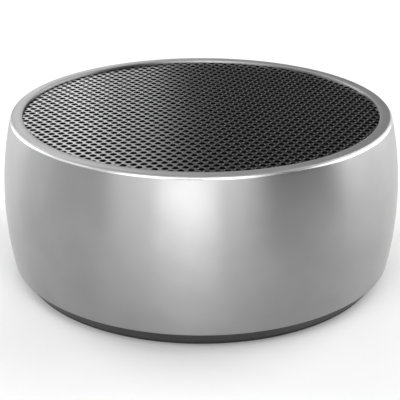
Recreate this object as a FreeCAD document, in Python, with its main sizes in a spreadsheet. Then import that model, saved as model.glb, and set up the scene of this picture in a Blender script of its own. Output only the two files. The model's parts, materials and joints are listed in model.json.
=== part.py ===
"""A round desktop speaker: a barrel-shaped aluminium shell with a perforated grille in its top,
a 52 mm class full-range driver that fires upwards, and a control panel low on its back.

Millimetres. +Z is up, and the origin is on the axis at the level of the surface that the speaker
stands on. The back, with the controls, faces +Y.
"""
import FreeCAD, Part
import math
import os

import Sketcher
from FreeCAD import Placement, Rotation, Vector

doc = FreeCAD.newDocument("desktop_speaker")
dims = doc.addObject("Spreadsheet::Sheet", "dims")

# ---------------------------------------------------------------- driving dimensions

SIZES = {
    # casing
    "body_height": 37.6,            # surface to the top of the rim
    "body_radius": 45.0,            # at the belly, the widest place
    "belly_height": 18.5,
    "barrel_radius": 79.0,          # of the arc that the shell's side follows
    "wall": 1.5,
    "rim_drop": 0.6,                # height of the bevel round the top
    "rim_bevel": 0.5,               # width of that bevel
    "lip_width": 2.3,               # flat ring between the bevel and the grille
    "lip_thickness": 0.6,
    "lip_break": 0.15,              # broken inner edge of the lip
    "hem": 0.4,                     # rounding of the shell's lower edge
    # grille and cloth
    "grille_thickness": 0.8,
    "grille_clearance": 0.15,
    "hole_pitch": 1.85,             # along a row and between rows; every other row is half a pitch on
    "hole_radius": 0.73,
    "hole_margin": 0.35,            # least plain metal between a hole and the grille's edge
    "row_angle": -53.0,             # the rows of holes aren't in line with the control panel
    "cloth_thickness": 0.3,
    "cloth_gap": 0.2,
    "cloth_lap": 1.2,               # how far the cloth reaches over its step
    # base
    "foot_proud": 0.8,
    "foot_depth": 0.8,              # how far the foot is let into the base
    "foot_width": 4.0,
    "foot_bevel": 0.2,
    "base_thickness": 2.5,
    "base_margin": 0.5,             # of the base outside its foot
    "base_rim_inset": 0.55,         # of the base's rim behind the shell's outside
    "base_taper": 1.45,             # how far the rim draws in down to the base's lower edge
    "base_rim_break": 0.25,
    "spigot_height": 2.3,
    "spigot_wall": 2.0,
    "spigot_clearance": 0.15,
    # case screws and their bosses
    "boss_radius": 3.0,
    "boss_inset": 7.8,              # from the spigot's outside in to a boss's axis
    "boss_angle": 40.0,
    "pilot_radius": 1.05,
    "pilot_depth": 12.0,
    "case_screw_radius": 1.0,
    "case_screw_length": 9.0,
    "case_head_radius": 2.1,
    "case_head_height": 1.4,
    "counterbore_radius": 2.4,
    "counterbore_depth": 1.6,
    "screw_hole_radius": 1.25,
    "recess_length": 2.4,           # cross recess in a screw's head
    "recess_width": 0.5,
    "recess_depth": 0.8,
    # baffle
    "baffle_thickness": 2.0,
    "baffle_clearance": 0.2,
    "baffle_ring_wall": 4.4,
    "cloth_step_clearance": 0.2,
    "driver_recess": 4.4,           # from the cloth down to the baffle's plate
    # driver
    "basket_radius": 24.0,
    "flange_width": 5.0,
    "basket_clearance": 0.8,
    "sheet": 0.8,                   # pressed steel of the driver's frame
    "ledge_drop": 3.8,              # baffle to the ledge that holds the spider
    "ledge_step": 2.7,              # basket's outside in to the ledge's outer edge
    "ledge_width": 3.8,
    "well_depth": 4.1,
    "window_width": 9.0,
    "window_height": 2.2,
    "driver_screw_step": 3.2,       # basket's outside out to the screws
    "driver_screw_radius": 0.9,
    "driver_head_radius": 1.5,
    "driver_head_height": 1.0,
    "driver_hole_radius": 1.1,
    "driver_pilot_radius": 0.95,
    "pole_radius": 9.5,
    "pole_clearance": 0.35,
    "former_wall": 0.15,
    "former_foot": 1.6,             # top plate's underside down to the former's end
    "winding_wall": 0.4,
    "winding_height": 5.0,
    "gap_clearance": 0.45,          # winding to the top plate's bore
    "top_plate_thickness": 2.0,
    "top_plate_radius": 17.0,
    "magnet_set_back": 1.65,        # of the magnet's bore behind the top plate's
    "magnet_radius": 17.5,
    "yoke_thickness": 2.5,
    "yoke_radius": 16.5,
    "driver_clearance": 1.4,        # battery to the yoke
    "glue_gap": 0.05,
    "cone_neck_drop": 3.65,         # cone's rim down to its neck
    "cone_paper": 0.35,
    "cone_rim": 0.8,
    "surround_rubber": 0.3,
    "surround_glue_width": 1.0,
    "roll_width": 4.4,
    "roll_radius": 2.6,
    "surround_lap": 1.4,            # how far the surround reaches over the flange
    "roll_gap": 0.4,
    "clamp_width": 1.7,
    "clamp_height": 0.6,
    "spider_cloth": 0.25,
    "spider_wave": 0.45,
    "spider_flat": 1.6,
    "cap_overhang": 1.5,
    "cap_rise": 2.1,
    "cap_top": 0.25,                # dust cap's top below the cone's rim
    "cap_film": 0.25,
    # battery
    "battery_width": 30.0,
    "battery_thickness": 7.4,
    "battery_clearance": 0.6,
    "pad_thickness": 0.5,
    "pad_inset": 3.0,
    # main board and what stands on it
    "post_height": 5.1,
    "post_radius": 2.5,
    "post_pilot_radius": 0.8,
    "post_pilot_depth": 4.0,
    "post_inset": 13.5,              # from the board's outer edge
    "post_angle": 38.5,
    "rest_post_radius": 1.8,
    "board_thickness": 1.6,
    "board_inner": 22.0,
    "board_half_sweep": 42.0,
    "board_clearance": 0.3,
    "board_hole_radius": 1.1,
    "board_screw_radius": 0.75,
    "board_screw_length": 5.0,
    "board_head_radius": 1.9,
    "board_head_height": 1.2,
    # control panel
    "control_rise": 2.4,            # board's top to the line of controls
    "panel_end": 1.6,               # plain panel beyond the charging socket, and as much at the other end
    "panel_half_height": 5.0,
    "panel_clearance": 0.1,
    "panel_set_back": 0.5,
    "panel_flange": 1.3,
    "panel_flange_thickness": 1.2,
    "play_offset": -6.1,            # places along the panel, measured round the belly
    "switch_step": 6.4,             # from the lip of the button beside it
    "light_step": 2.3,              # and the same on the other side
    "aux_step": 6.1,
    "usb_step": 10.3,
    # buttons and their switches
    "button_radius": 3.0,
    "button_clearance": 0.1,
    "button_gap": 0.8,              # between two buttons' lips
    "button_proud": 0.45,
    "button_travel": 0.6,
    "button_lip": 0.5,
    "button_lip_thickness": 0.8,
    "lip_gap": 0.1,
    "stem_radius": 1.4,
    "stem_length": 1.6,
    "plunger_radius": 1.1,
    "plunger_length": 2.3,
    "plunger_bite": 0.8,            # how far a plunger stands in its switch at rest
    "plunger_room": 1.0,
    "plunger_clearance": 0.1,
    "tact_width": 6.0,
    "tact_depth": 3.5,
    "tact_height": 4.4,
    # power switch
    "slider_travel": 2.0,
    "slider_width": 3.4,
    "slider_height": 2.6,
    "slider_proud": 0.5,
    "slider_clearance": 0.15,
    "slider_lip_width": 6.6,
    "slider_lip_height": 4.0,
    "slider_lip_thickness": 0.7,
    "slider_lip_gap": 0.65,
    "lever_width": 2.0,
    "lever_height": 1.6,
    "lever_bite": 0.8,
    "lever_clearance": 0.1,
    "slide_body_width": 8.6,
    "slide_body_depth": 3.6,
    "slide_body_height": 4.0,
    "slide_body_gap": 1.4,          # slide switch to the slider's lip
    # light and microphone
    "light_rise": 1.9,
    "light_radius": 0.9,
    "light_lip": 0.5,
    "light_lip_thickness": 0.6,
    "led_width": 3.0,
    "led_depth": 1.4,
    "led_gap": 0.2,
    "light_tail": 1.8,
    "light_clearance": 0.08,
    "microphone_drop": 1.9,
    "microphone_radius": 1.5,
    "microphone_thickness": 1.2,
    "microphone_hole": 0.45,
    # sockets
    "socket_set_back": 0.5,
    "socket_clearance": 0.15,
    "usb_width": 9.0,
    "usb_height": 3.2,
    "usb_wall": 0.3,
    "usb_length": 7.6,
    "usb_plug_depth": 5.6,
    "tongue_width": 6.7,
    "tongue_thickness": 0.7,
    "tongue_set_back": 0.8,
    "usb_foot_width": 0.5,
    "usb_foot_length": 1.6,
    "aux_bore": 1.8,
    "aux_barrel": 2.8,
    "aux_body_width": 6.4,
    "aux_body_gap": 0.6,            # aux socket's body to the panel
    "aux_body_length": 11.5,
    "aux_depth": 13.2,
    # electronics
    "module_size": 6.0,
    "module_height": 2.0,
    "module_at": 31.0,
    "module_angle": 30.5,
    "chip_size": 4.5,
    "chip_height": 1.2,
    "chip_at": 26.0,
    "chip_angle": -24.6,
    "capacitor_radius": 2.5,
    "capacitor_height": 5.4,
    "capacitor_at": 31.5,
    "capacitor_angle": -32.0,
    "inductor_size": 3.0,
    "inductor_height": 2.0,
    "inductor_gap": 0.2,            # to the switches behind the buttons
    "inductor_angle": 5.0,
    # wiring
    "wire_radius": 0.5,
    "wire_pitch": 2.5,
    "plug_width": 6.2,
    "plug_depth": 4.2,
    "plug_height": 4.4,
    "plug_floor": 1.0,
    "plug_seat": 0.2,
    "plug_clearance": 0.05,
    "header_wall": 0.8,
    "header_height": 4.6,
    "speaker_plug_x": -7.4,
    "speaker_plug_y": 26.9,
    "battery_plug_x": 1.2,
    "battery_plug_y": 26.9,
    "strip_width": 9.0,
    "strip_set_back": 0.9,
    "strip_depth": 4.2,
    "strip_thickness": 1.0,
    "tag_x": 3.0,
    "tag_width": 1.8,
    "tag_set_back": 1.6,
    "tag_length": 3.6,
    "tag_thickness": 0.4,
}
for row, (alias, number) in enumerate(SIZES.items(), start=1):
    dims.set(f"A{row}", alias)
    dims.set(f"B{row}", str(number))
    dims.setAlias(f"B{row}", alias)
doc.recompute()


# ---------------------------------------------------------------- expressions

def value(expression):
    """The number that an expression on the sheet gives."""
    return float(dims.evalExpression(expression))


def barrel(height, inset="0"):
    """Radius at a height of the barrel's arc, or of the arc set in from it."""
    return (f"(dims.body_radius - dims.barrel_radius + sqrt((dims.barrel_radius - {inset})^2"
            f" - ({height} - dims.belly_height)^2))")


def round_belly(offset):
    """Angle in degrees of a place that far round the belly from the middle of the back."""
    return f"(-{offset} / dims.body_radius * 180 / pi)"


# Levels, from the bottom up
FLOOR = "(dims.foot_proud + dims.base_thickness)"
BATTERY_BOTTOM = f"({FLOOR} + dims.pad_thickness)"
BATTERY_TOP = f"({BATTERY_BOTTOM} + dims.battery_thickness)"
BOARD_BOTTOM = f"({FLOOR} + dims.post_height)"
BOARD_TOP = f"({BOARD_BOTTOM} + dims.board_thickness)"
CONTROLS = f"({BOARD_TOP} + dims.control_rise)"

# Levels, from the top down
TOP = "dims.body_height"
LIP_BOTTOM = f"({TOP} - dims.lip_thickness)"
GRILLE_BOTTOM = f"({LIP_BOTTOM} - dims.grille_thickness)"
CLOTH_TOP = f"({GRILLE_BOTTOM} - dims.cloth_gap)"
CLOTH_BOTTOM = f"({CLOTH_TOP} - dims.cloth_thickness)"
BAFFLE_TOP = f"({CLOTH_BOTTOM} - dims.driver_recess)"
BAFFLE_BOTTOM = f"({BAFFLE_TOP} - dims.baffle_thickness)"
FLANGE_TOP = f"({BAFFLE_TOP} + dims.sheet)"
LEDGE_TOP = f"({BAFFLE_TOP} - dims.ledge_drop)"
LEDGE_BOTTOM = f"({LEDGE_TOP} - dims.sheet)"
WELL_TOP = f"({LEDGE_TOP} - dims.well_depth)"
PLATE_TOP = f"({WELL_TOP} - dims.sheet)"
PLATE_BOTTOM = f"({PLATE_TOP} - dims.top_plate_thickness)"
YOKE_BOTTOM = f"({BATTERY_TOP} + dims.driver_clearance)"
MAGNET_BOTTOM = f"({YOKE_BOTTOM} + dims.yoke_thickness)"

# Radii that several pieces share
RIM_FOOT = barrel(f"({TOP} - dims.rim_drop)")
RIM_OUTER = f"({RIM_FOOT} - dims.rim_bevel)"
LIP_INNER = f"({RIM_OUTER} - dims.lip_width)"
GRILLE_RADIUS = f"({barrel(LIP_BOTTOM, 'dims.wall')} - dims.grille_clearance)"
BAFFLE_RADIUS = f"({barrel(GRILLE_BOTTOM, 'dims.wall')} - dims.baffle_clearance)"
BAFFLE_INNER = f"({BAFFLE_RADIUS} - dims.baffle_ring_wall)"
CLOTH_RADIUS = f"({BAFFLE_INNER} + dims.cloth_lap)"
CLOTH_STEP = f"({CLOTH_RADIUS} + dims.cloth_step_clearance)"
BASE_RIM = f"({barrel(FLOOR)} - dims.base_rim_inset)"
BASE_EDGE = f"({BASE_RIM} - dims.base_taper)"
FOOT_OUTER = f"({BASE_EDGE} - dims.base_margin)"
FOOT_INNER = f"({FOOT_OUTER} - dims.foot_width)"
SPIGOT_RADIUS = f"({barrel(FLOOR, 'dims.wall')} - dims.spigot_clearance)"
BOSS_CIRCLE = f"({SPIGOT_RADIUS} - dims.boss_inset)"
BOSS_X = f"({BOSS_CIRCLE} * cos(dims.boss_angle * 1deg))"
BOSS_Y = f"({BOSS_CIRCLE} * sin(dims.boss_angle * 1deg))"
OPENING_RADIUS = "(dims.basket_radius + dims.basket_clearance)"
FLANGE_RADIUS = "(dims.basket_radius + dims.flange_width)"
DRIVER_SCREW_CIRCLE = "(dims.basket_radius + dims.driver_screw_step)"
LEDGE_RADIUS = "(dims.basket_radius - dims.ledge_step)"
WELL_RADIUS = f"({LEDGE_RADIUS} - dims.ledge_width)"
SURROUND_EDGE = "(dims.basket_radius + dims.surround_lap)"
ROLL_OUTER = f"({SURROUND_EDGE} - dims.clamp_width - dims.roll_gap)"
CONE_RADIUS = f"({ROLL_OUTER} - dims.roll_width)"
FORMER_INNER = "(dims.pole_radius + dims.pole_clearance)"
FORMER_OUTER = f"({FORMER_INNER} + dims.former_wall)"
WINDING_OUTER = f"({FORMER_OUTER} + dims.winding_wall)"
GAP_RADIUS = f"({WINDING_OUTER} + dims.gap_clearance)"
CAP_RADIUS = f"({FORMER_OUTER} + dims.cap_overhang)"

# The control panel's depth: everything behind it is placed from its inner face
FLANGE_HALF_HEIGHT = "(dims.panel_half_height + dims.panel_flange)"
PANEL_INNER = (f"({barrel(f'({CONTROLS} - {FLANGE_HALF_HEIGHT})', 'dims.wall')}"
               f" - dims.panel_flange_thickness)")
PANEL_FACE = f"({barrel(CONTROLS)} - dims.panel_set_back)"
BUTTON_LIP_OUTER = f"({PANEL_INNER} - dims.lip_gap)"
BUTTON_LIP_INNER = f"({BUTTON_LIP_OUTER} - dims.button_lip_thickness)"
STEM_END = f"({BUTTON_LIP_INNER} - dims.stem_length)"
TACT_FACE = f"({STEM_END} - dims.plunger_length + dims.plunger_bite)"
BOARD_EDGE = f"({BUTTON_LIP_INNER} - dims.button_travel - dims.board_clearance)"
SLIDER_LIP_OUTER = f"({PANEL_INNER} - dims.slider_lip_gap)"
SLIDER_LIP_INNER = f"({SLIDER_LIP_OUTER} - dims.slider_lip_thickness)"
SLIDE_BODY_FACE = f"({SLIDER_LIP_INNER} - dims.slide_body_gap)"
SOCKET_FACE = f"({PANEL_FACE} - dims.socket_set_back)"
POST_CIRCLE = f"({BOARD_EDGE} - dims.post_inset)"

# Places along the panel, each from the one before it
BUTTON_PITCH = (f"((2 * (dims.button_radius + dims.button_lip) + dims.button_gap)"
                f" * dims.body_radius / {BUTTON_LIP_OUTER})")
LIP_EDGE = f"({BUTTON_PITCH} + dims.button_radius + dims.button_lip)"
SWITCH_TURN = round_belly(f"(dims.play_offset - {LIP_EDGE} - dims.switch_step)")
LIGHT_OFFSET = f"(dims.play_offset + {LIP_EDGE} + dims.light_step)"
LIGHT_TURN = round_belly(LIGHT_OFFSET)
AUX_TURN = round_belly(f"({LIGHT_OFFSET} + dims.aux_step)")
USB_TURN = round_belly(f"({LIGHT_OFFSET} + dims.aux_step + dims.usb_step)")
BUTTONS = {
    "volume_down": round_belly(f"(dims.play_offset - {BUTTON_PITCH})"),
    "play": round_belly("dims.play_offset"),
    "volume_up": round_belly(f"(dims.play_offset + {BUTTON_PITCH})"),
}
PANEL_HALF_LENGTH = (f"(-{PANEL_FACE} * sin({USB_TURN} * 1deg) + dims.usb_width / 2 * cos({USB_TURN} * 1deg)"
                     f" + dims.panel_end)")
# Corners of the rectangle that the four bosses stand on
CORNERS = [(BOSS_X, BOSS_Y), (f"-{BOSS_X}", BOSS_Y), (f"-{BOSS_X}", f"-{BOSS_Y}"), (BOSS_X, f"-{BOSS_Y}")]


# ---------------------------------------------------------------- ways of making a piece

parts = {}


def keep(label, piece):
    """Names a finished piece, which is then written to its own file."""
    piece.Label = label
    parts[label] = piece
    return piece


def place(piece, x="0", y="0", z="0", turn="0", along="z"):
    """Stands a piece on a point and turns it about the Z axis; along="y" lays its own Z along Y."""
    lay = "rotation(vector(1; 0; 0); -90)" if along == "y" else "rotation(vector(0; 0; 1); 0)"
    piece.setExpression(
        "Placement",
        f"placement(vector(0; 0; 0); rotation(vector(0; 0; 1); {turn}))"
        f" * placement(vector({x}; {y}; {z}); {lay})")
    return piece


def box(name, wide, deep, high, x="0", y="0", z="0", turn="0"):
    """A block centred on x, from y and z upwards."""
    made = doc.addObject("Part::Box", name)
    made.setExpression("Length", wide)
    made.setExpression("Width", deep)
    made.setExpression("Height", high)
    return place(made, f"{x} - ({wide}) / 2", y, z, turn)


def cylinder(name, radius, length, x="0", y="0", z="0", turn="0", along="z"):
    made = doc.addObject("Part::Cylinder", name)
    made.setExpression("Radius", radius)
    made.setExpression("Height", length)
    return place(made, x, y, z, turn, along)


def sphere(name, radius, z):
    made = doc.addObject("Part::Sphere", name)
    made.setExpression("Radius", radius)
    return place(made, z=z)


def fuse(name, pieces):
    made = doc.addObject("Part::MultiFuse", name)
    made.Shapes = pieces
    made.Refine = True
    return made


def cut(name, base, tools):
    made = doc.addObject("Part::Cut", name)
    made.Base = base
    made.Tool = tools[0] if len(tools) == 1 else fuse(name + "_tools", tools)
    return made


def common(name, first, second):
    made = doc.addObject("Part::Common", name)
    made.Base = first
    made.Tool = second
    return made


def together(name, pieces):
    """Separate solids that share one name, such as a set of screws."""
    made = doc.addObject("Part::Compound", name)
    made.Links = pieces
    return made


def stadium(name, half_length, half_height, deep, y, z):
    """A prism along Y with full-round ends, centred on X = 0 and on the height z."""
    straight = f"(({half_length}) - ({half_height}))"
    pieces = [box(name + "_middle", f"2 * {straight}", deep, f"2 * ({half_height})", y=y,
                  z=f"{z} - ({half_height})")]
    for side, sign in (("left", "-"), ("right", "")):
        pieces.append(cylinder(f"{name}_{side}", half_height, deep, x=f"{sign}{straight}", y=y, z=z,
                               along="y"))
    return fuse(name, pieces)


class Bend:
    """An arc in an outline, between the points before and after it. side is 1 where it bulges to the
    right of the way the outline runs, and -1 to the left."""

    def __init__(self, radius, side):
        self.radius = radius
        self.side = side


def arc_between(start, end, radius, side):
    """The arc of that radius between two points, the shorter way round, always counter-clockwise."""
    chord = end - start
    outward = Vector(chord.y, -chord.x, 0).normalize() * side
    to_centre = math.sqrt(max(0.0, radius**2 - chord.Length**2 / 4))
    centre = (start + end) / 2 - outward * to_centre
    first, last = (start, end) if side > 0 else (end, start)
    angles = [math.atan2(point.y - centre.y, point.x - centre.x) for point in (first, last)]
    return Part.ArcOfCircle(Part.Circle(centre, Vector(0, 0, 1), radius), *angles)


def draw(sketch, outline):
    """Draws a closed outline of (radius, height) points, each coordinate bound to its expression."""
    corners = [entry for entry in outline if not isinstance(entry, Bend)]
    bends = {}
    for i, entry in enumerate(outline):
        if isinstance(entry, Bend):
            bends[i - 1 - len(bends)] = entry
    points = [Vector(value(x), value(y), 0) for x, y in corners]
    count = len(points)
    starts = []
    for i, point in enumerate(points):
        after = points[(i + 1) % count]
        bend = bends.get(i)
        if bend:
            sketch.addGeometry(arc_between(point, after, value(bend.radius), bend.side), False)
        else:
            sketch.addGeometry(Part.LineSegment(point, after), False)
        starts.append(2 if bend and bend.side < 0 else 1)
    for i in range(count):
        after = (i + 1) % count
        sketch.addConstraint(Sketcher.Constraint("Coincident", i, 3 - starts[i], after, starts[after]))
        if i in bends:
            at = sketch.addConstraint(Sketcher.Constraint("Radius", i, value(bends[i].radius)))
            sketch.setExpression(f"Constraints[{at}]", bends[i].radius)
    for i, (x, y) in enumerate(corners):
        for kind, axis, expression in (("DistanceX", -2, x), ("DistanceY", -1, y)):
            if expression == "0":
                sketch.addConstraint(Sketcher.Constraint("PointOnObject", i, starts[i], axis))
                continue
            at = sketch.addConstraint(Sketcher.Constraint(kind, -1, 1, i, starts[i], value(expression)))
            sketch.setExpression(f"Constraints[{at}]", expression)


def turned(name, outline, sweep="360", turn=None):
    """A body turned round the Z axis from a closed outline of (radius, height) expressions."""
    body = doc.addObject("PartDesign::Body", name)
    origin = {feature.Role: feature for feature in body.Origin.OriginFeatures}
    sketch = body.newObject("Sketcher::SketchObject", name + "_outline")
    sketch.AttachmentSupport = (origin["XZ_Plane"], "")
    sketch.MapMode = "FlatFace"
    draw(sketch, outline)
    revolution = body.newObject("PartDesign::Revolution", name + "_turned")
    revolution.Profile = sketch
    revolution.ReferenceAxis = (origin["Z_Axis"], [""])
    revolution.setExpression("Angle", sweep)
    body.Tip = revolution
    if turn:
        place(body, turn=turn)
    return body


def ring(name, inner, outer, bottom, top):
    return turned(name, [(inner, bottom), (outer, bottom), (outer, top), (inner, top)])


def screw(name, x, y, z, head_radius, head_height, shank_radius, shank_length, upwards):
    """A pan-head screw with a cross recess. z is the seat of its head, and upwards says that its
    shank points up."""
    head_z = f"{z} - {head_height}" if upwards else z
    shank_z = z if upwards else f"{z} - {shank_length}"
    solid = fuse(name + "_blank", [
        cylinder(name + "_head", head_radius, head_height, x, y, head_z),
        cylinder(name + "_shank", shank_radius, shank_length, x, y, shank_z)])
    recess_z = head_z if upwards else f"{z} + {head_height} - dims.recess_depth"
    arms = [box(name + "_recess_x", "dims.recess_length", "dims.recess_width", "dims.recess_depth", x,
                f"{y} - dims.recess_width / 2", recess_z),
            box(name + "_recess_y", "dims.recess_width", "dims.recess_length", "dims.recess_depth", x,
                f"{y} - dims.recess_length / 2", recess_z)]
    return cut(name, solid, arms)


def rounded_wire(points):
    """Straight runs joined by tangent arcs, each as large as its two runs allow."""
    edges = []
    start = points[0]
    for before, corner, after in zip(points, points[1:], points[2:]):
        to_before, to_after = before - corner, after - corner
        reach = 0.45 * min(to_before.Length, to_after.Length)
        to_before.normalize()
        to_after.normalize()
        enter, leave = corner + to_before * reach, corner + to_after * reach
        half = to_before.getAngle(to_after) / 2
        radius = reach * math.tan(half)
        inward = (to_before + to_after).normalize()
        crown = corner + inward * (radius / math.sin(half) - radius)
        edges.append(Part.LineSegment(start, enter).toShape())
        edges.append(Part.Arc(enter, crown, leave).toShape())
        start = leave
    edges.append(Part.LineSegment(start, points[-1]).toShape())
    return Part.Wire(edges)


def wire_tube(points):
    """A round insulated wire that follows the points."""
    path = rounded_wire(points)
    direction = (points[1] - points[0]).normalize()
    section = Part.Wire(Part.makeCircle(value("dims.wire_radius"), points[0], direction))
    return path.makePipeShell([section], True, False)


# ---------------------------------------------------------------- casing

def outer_shell():
    """Spun aluminium barrel, open below, with a thin lip at the top and a window for the controls."""
    hem_top = f"({FLOOR} + dims.hem)"
    blank = turned("shell_blank", [
        (f"({LIP_INNER} + dims.lip_break)", TOP),
        (RIM_OUTER, TOP),
        (RIM_FOOT, f"({TOP} - dims.rim_drop)"),
        Bend("dims.barrel_radius", -1),
        (barrel(hem_top), hem_top),
        Bend("dims.hem", -1),
        (f"({barrel(hem_top)} - dims.hem)", FLOOR),
        (barrel(FLOOR, "dims.wall"), FLOOR),
        Bend("(dims.barrel_radius - dims.wall)", 1),
        (barrel(LIP_BOTTOM, "dims.wall"), LIP_BOTTOM),
        (LIP_INNER, LIP_BOTTOM),
        (LIP_INNER, f"({TOP} - dims.lip_break)"),
    ])
    window = stadium("shell_window", PANEL_HALF_LENGTH, "dims.panel_half_height",
                     "dims.body_radius", y="dims.body_radius / 2", z=CONTROLS)
    keep("outer_shell", cut("shell_cut", blank, [window]))


def perforated_plate():
    """The grille's solid. Its faces are built in strips, one to each row of holes, because one face
    with all the holes in it takes minutes to check."""
    edge = value(GRILLE_RADIUS)
    pitch, hole = value("dims.hole_pitch"), value("dims.hole_radius")
    thickness = value("dims.grille_thickness")
    reach = edge - hole - value("dims.hole_margin")
    last_row = math.ceil(edge / pitch)
    up = Vector(0, 0, thickness)

    def on_edge(y):
        return math.sqrt(edge**2 - y**2)

    def strip_border(low, middle, high):
        if low is None or high is None:
            cap = high if low is None else low
            x = on_edge(cap)
            pole = -edge if low is None else edge
            return [Part.Arc(Vector(x, cap, 0), Vector(0, pole, 0), Vector(-x, cap, 0)).toShape(),
                    Part.LineSegment(Vector(-x, cap, 0), Vector(x, cap, 0)).toShape()]
        a, b, m = on_edge(low), on_edge(high), on_edge(middle)
        return [Part.LineSegment(Vector(-a, low, 0), Vector(a, low, 0)).toShape(),
                Part.Arc(Vector(a, low, 0), Vector(m, middle, 0), Vector(b, high, 0)).toShape(),
                Part.LineSegment(Vector(b, high, 0), Vector(-b, high, 0)).toShape(),
                Part.Arc(Vector(-b, high, 0), Vector(-m, middle, 0), Vector(-a, low, 0)).toShape()]

    faces = []
    for row_number in range(-last_row, last_row + 1):
        y = row_number * pitch
        low, high = y - pitch / 2, y + pitch / 2
        if low >= edge or high <= -edge:
            continue
        border = strip_border(low if low > -edge else None, y, high if high < edge else None)
        half_step = (row_number % 2) / 2
        last_column = math.ceil(edge / pitch)
        places = [(i + half_step) * pitch for i in range(-last_column, last_column + 1)]
        holes = [Part.Wire(Part.makeCircle(hole, Vector(x, y, 0)))
                 for x in places if math.hypot(x, y) <= reach]
        strip = Part.makeFace([Part.Wire(border), *holes], "Part::FaceMakerBullseye")
        faces += strip.Faces
        faces += [face.translated(up) for face in strip.Faces]
        faces += [wire.extrude(up).Faces[0] for wire in holes]
        faces += [side.extrude(up) for side in border if side.Curve.TypeId == "Part::GeomCircle"]
    shell = Part.makeShell(faces)
    shell.sewShape()
    return Part.makeSolid(shell)


def grille_and_cloth():
    """Punched steel sheet pressed up under the lip, and the dust cloth on its step below."""
    grille = doc.addObject("Part::Feature", "grille_sheet")
    grille.Shape = perforated_plate()
    grille.Placement = Placement(Vector(0, 0, value(GRILLE_BOTTOM)),
                                 Rotation(Vector(0, 0, 1), value("dims.row_angle")))
    keep("grille", grille)
    keep("grille_cloth", cylinder("cloth_disc", CLOTH_RADIUS, "dims.cloth_thickness", z=CLOTH_BOTTOM))


def baffle():
    """Moulded plate for the driver, with the ring that holds up the grille and four screw bosses."""
    plate = turned("baffle_plate", [
        (OPENING_RADIUS, BAFFLE_BOTTOM),
        (BAFFLE_RADIUS, BAFFLE_BOTTOM),
        (BAFFLE_RADIUS, GRILLE_BOTTOM),
        (CLOTH_STEP, GRILLE_BOTTOM),
        (CLOTH_STEP, CLOTH_BOTTOM),
        (BAFFLE_INNER, CLOTH_BOTTOM),
        (BAFFLE_INNER, BAFFLE_TOP),
        (OPENING_RADIUS, BAFFLE_TOP),
    ])
    bosses = [cylinder("boss", "dims.boss_radius", f"{BAFFLE_BOTTOM} - {FLOOR}", x, y, FLOOR)
              for x, y in CORNERS]
    holes = [cylinder("boss_pilot", "dims.pilot_radius", "dims.pilot_depth", x, y, FLOOR)
             for x, y in CORNERS]
    for quarter in range(4):
        holes.append(cylinder("driver_pilot", "dims.driver_pilot_radius", "dims.baffle_thickness",
                              y=DRIVER_SCREW_CIRCLE, z=BAFFLE_BOTTOM, turn=str(45 + 90 * quarter)))
    keep("baffle", cut("baffle_cut", fuse("baffle_blank", [plate, *bosses]), holes))


def post_place(sign):
    """Where a screwed post stands, under the board's left or right end."""
    return (f"{sign}({POST_CIRCLE} * sin(dims.post_angle * 1deg))",
            f"({POST_CIRCLE} * cos(dims.post_angle * 1deg))")


def base_plate():
    """Moulded base: a tapered rim under the shell, a spigot inside it, and posts for the main board."""
    groove_top = "(dims.foot_proud + dims.foot_depth)"
    spigot_top = f"({FLOOR} + dims.spigot_height)"
    spigot_inner = f"({SPIGOT_RADIUS} - dims.spigot_wall)"
    tray = turned("base_tray", [
        ("0", "dims.foot_proud"),
        (FOOT_INNER, "dims.foot_proud"),
        (FOOT_INNER, groove_top),
        (FOOT_OUTER, groove_top),
        (FOOT_OUTER, "dims.foot_proud"),
        (BASE_EDGE, "dims.foot_proud"),
        (BASE_RIM, f"({FLOOR} - dims.base_rim_break)"),
        (f"({BASE_RIM} - dims.base_rim_break)", FLOOR),
        (SPIGOT_RADIUS, FLOOR),
        (SPIGOT_RADIUS, spigot_top),
        (spigot_inner, spigot_top),
        (spigot_inner, FLOOR),
        ("0", FLOOR),
    ])
    posts = [cylinder("post", "dims.post_radius", "dims.post_height", *post_place(sign), FLOOR)
             for sign in ("-", "")]
    posts.append(cylinder("rest_post", "dims.rest_post_radius", "dims.post_height",
                          y="dims.board_inner + dims.rest_post_radius", z=FLOOR))
    holes = [cylinder("post_pilot", "dims.post_pilot_radius", "dims.post_pilot_depth", *post_place(sign),
                      f"{BOARD_BOTTOM} - dims.post_pilot_depth") for sign in ("-", "")]
    for x, y in CORNERS:
        holes.append(cylinder("counterbore", "dims.counterbore_radius", "dims.counterbore_depth", x, y,
                              "dims.foot_proud"))
        holes.append(cylinder("screw_hole", "dims.screw_hole_radius", "dims.base_thickness", x, y,
                              "dims.foot_proud"))
    keep("base_plate", cut("base_cut", fuse("base_blank", [tray, *posts]), holes))


def foot_and_case_screws():
    """Rubber ring let into the base, and the four screws that close the case from below."""
    keep("foot_ring", turned("foot", [
        (FOOT_INNER, "dims.foot_bevel"),
        (f"({FOOT_INNER} + dims.foot_bevel)", "0"),
        (f"({FOOT_OUTER} - dims.foot_bevel)", "0"),
        (FOOT_OUTER, "dims.foot_bevel"),
        (FOOT_OUTER, "(dims.foot_proud + dims.foot_depth)"),
        (FOOT_INNER, "(dims.foot_proud + dims.foot_depth)"),
    ]))
    seat = "(dims.foot_proud + dims.counterbore_depth)"
    screws = [screw("case_screw", x, y, seat, "dims.case_head_radius", "dims.case_head_height",
                    "dims.case_screw_radius", "dims.case_screw_length", upwards=True) for x, y in CORNERS]
    keep("case_screws", together("case_screw_set", screws))


# ---------------------------------------------------------------- driver

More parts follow.
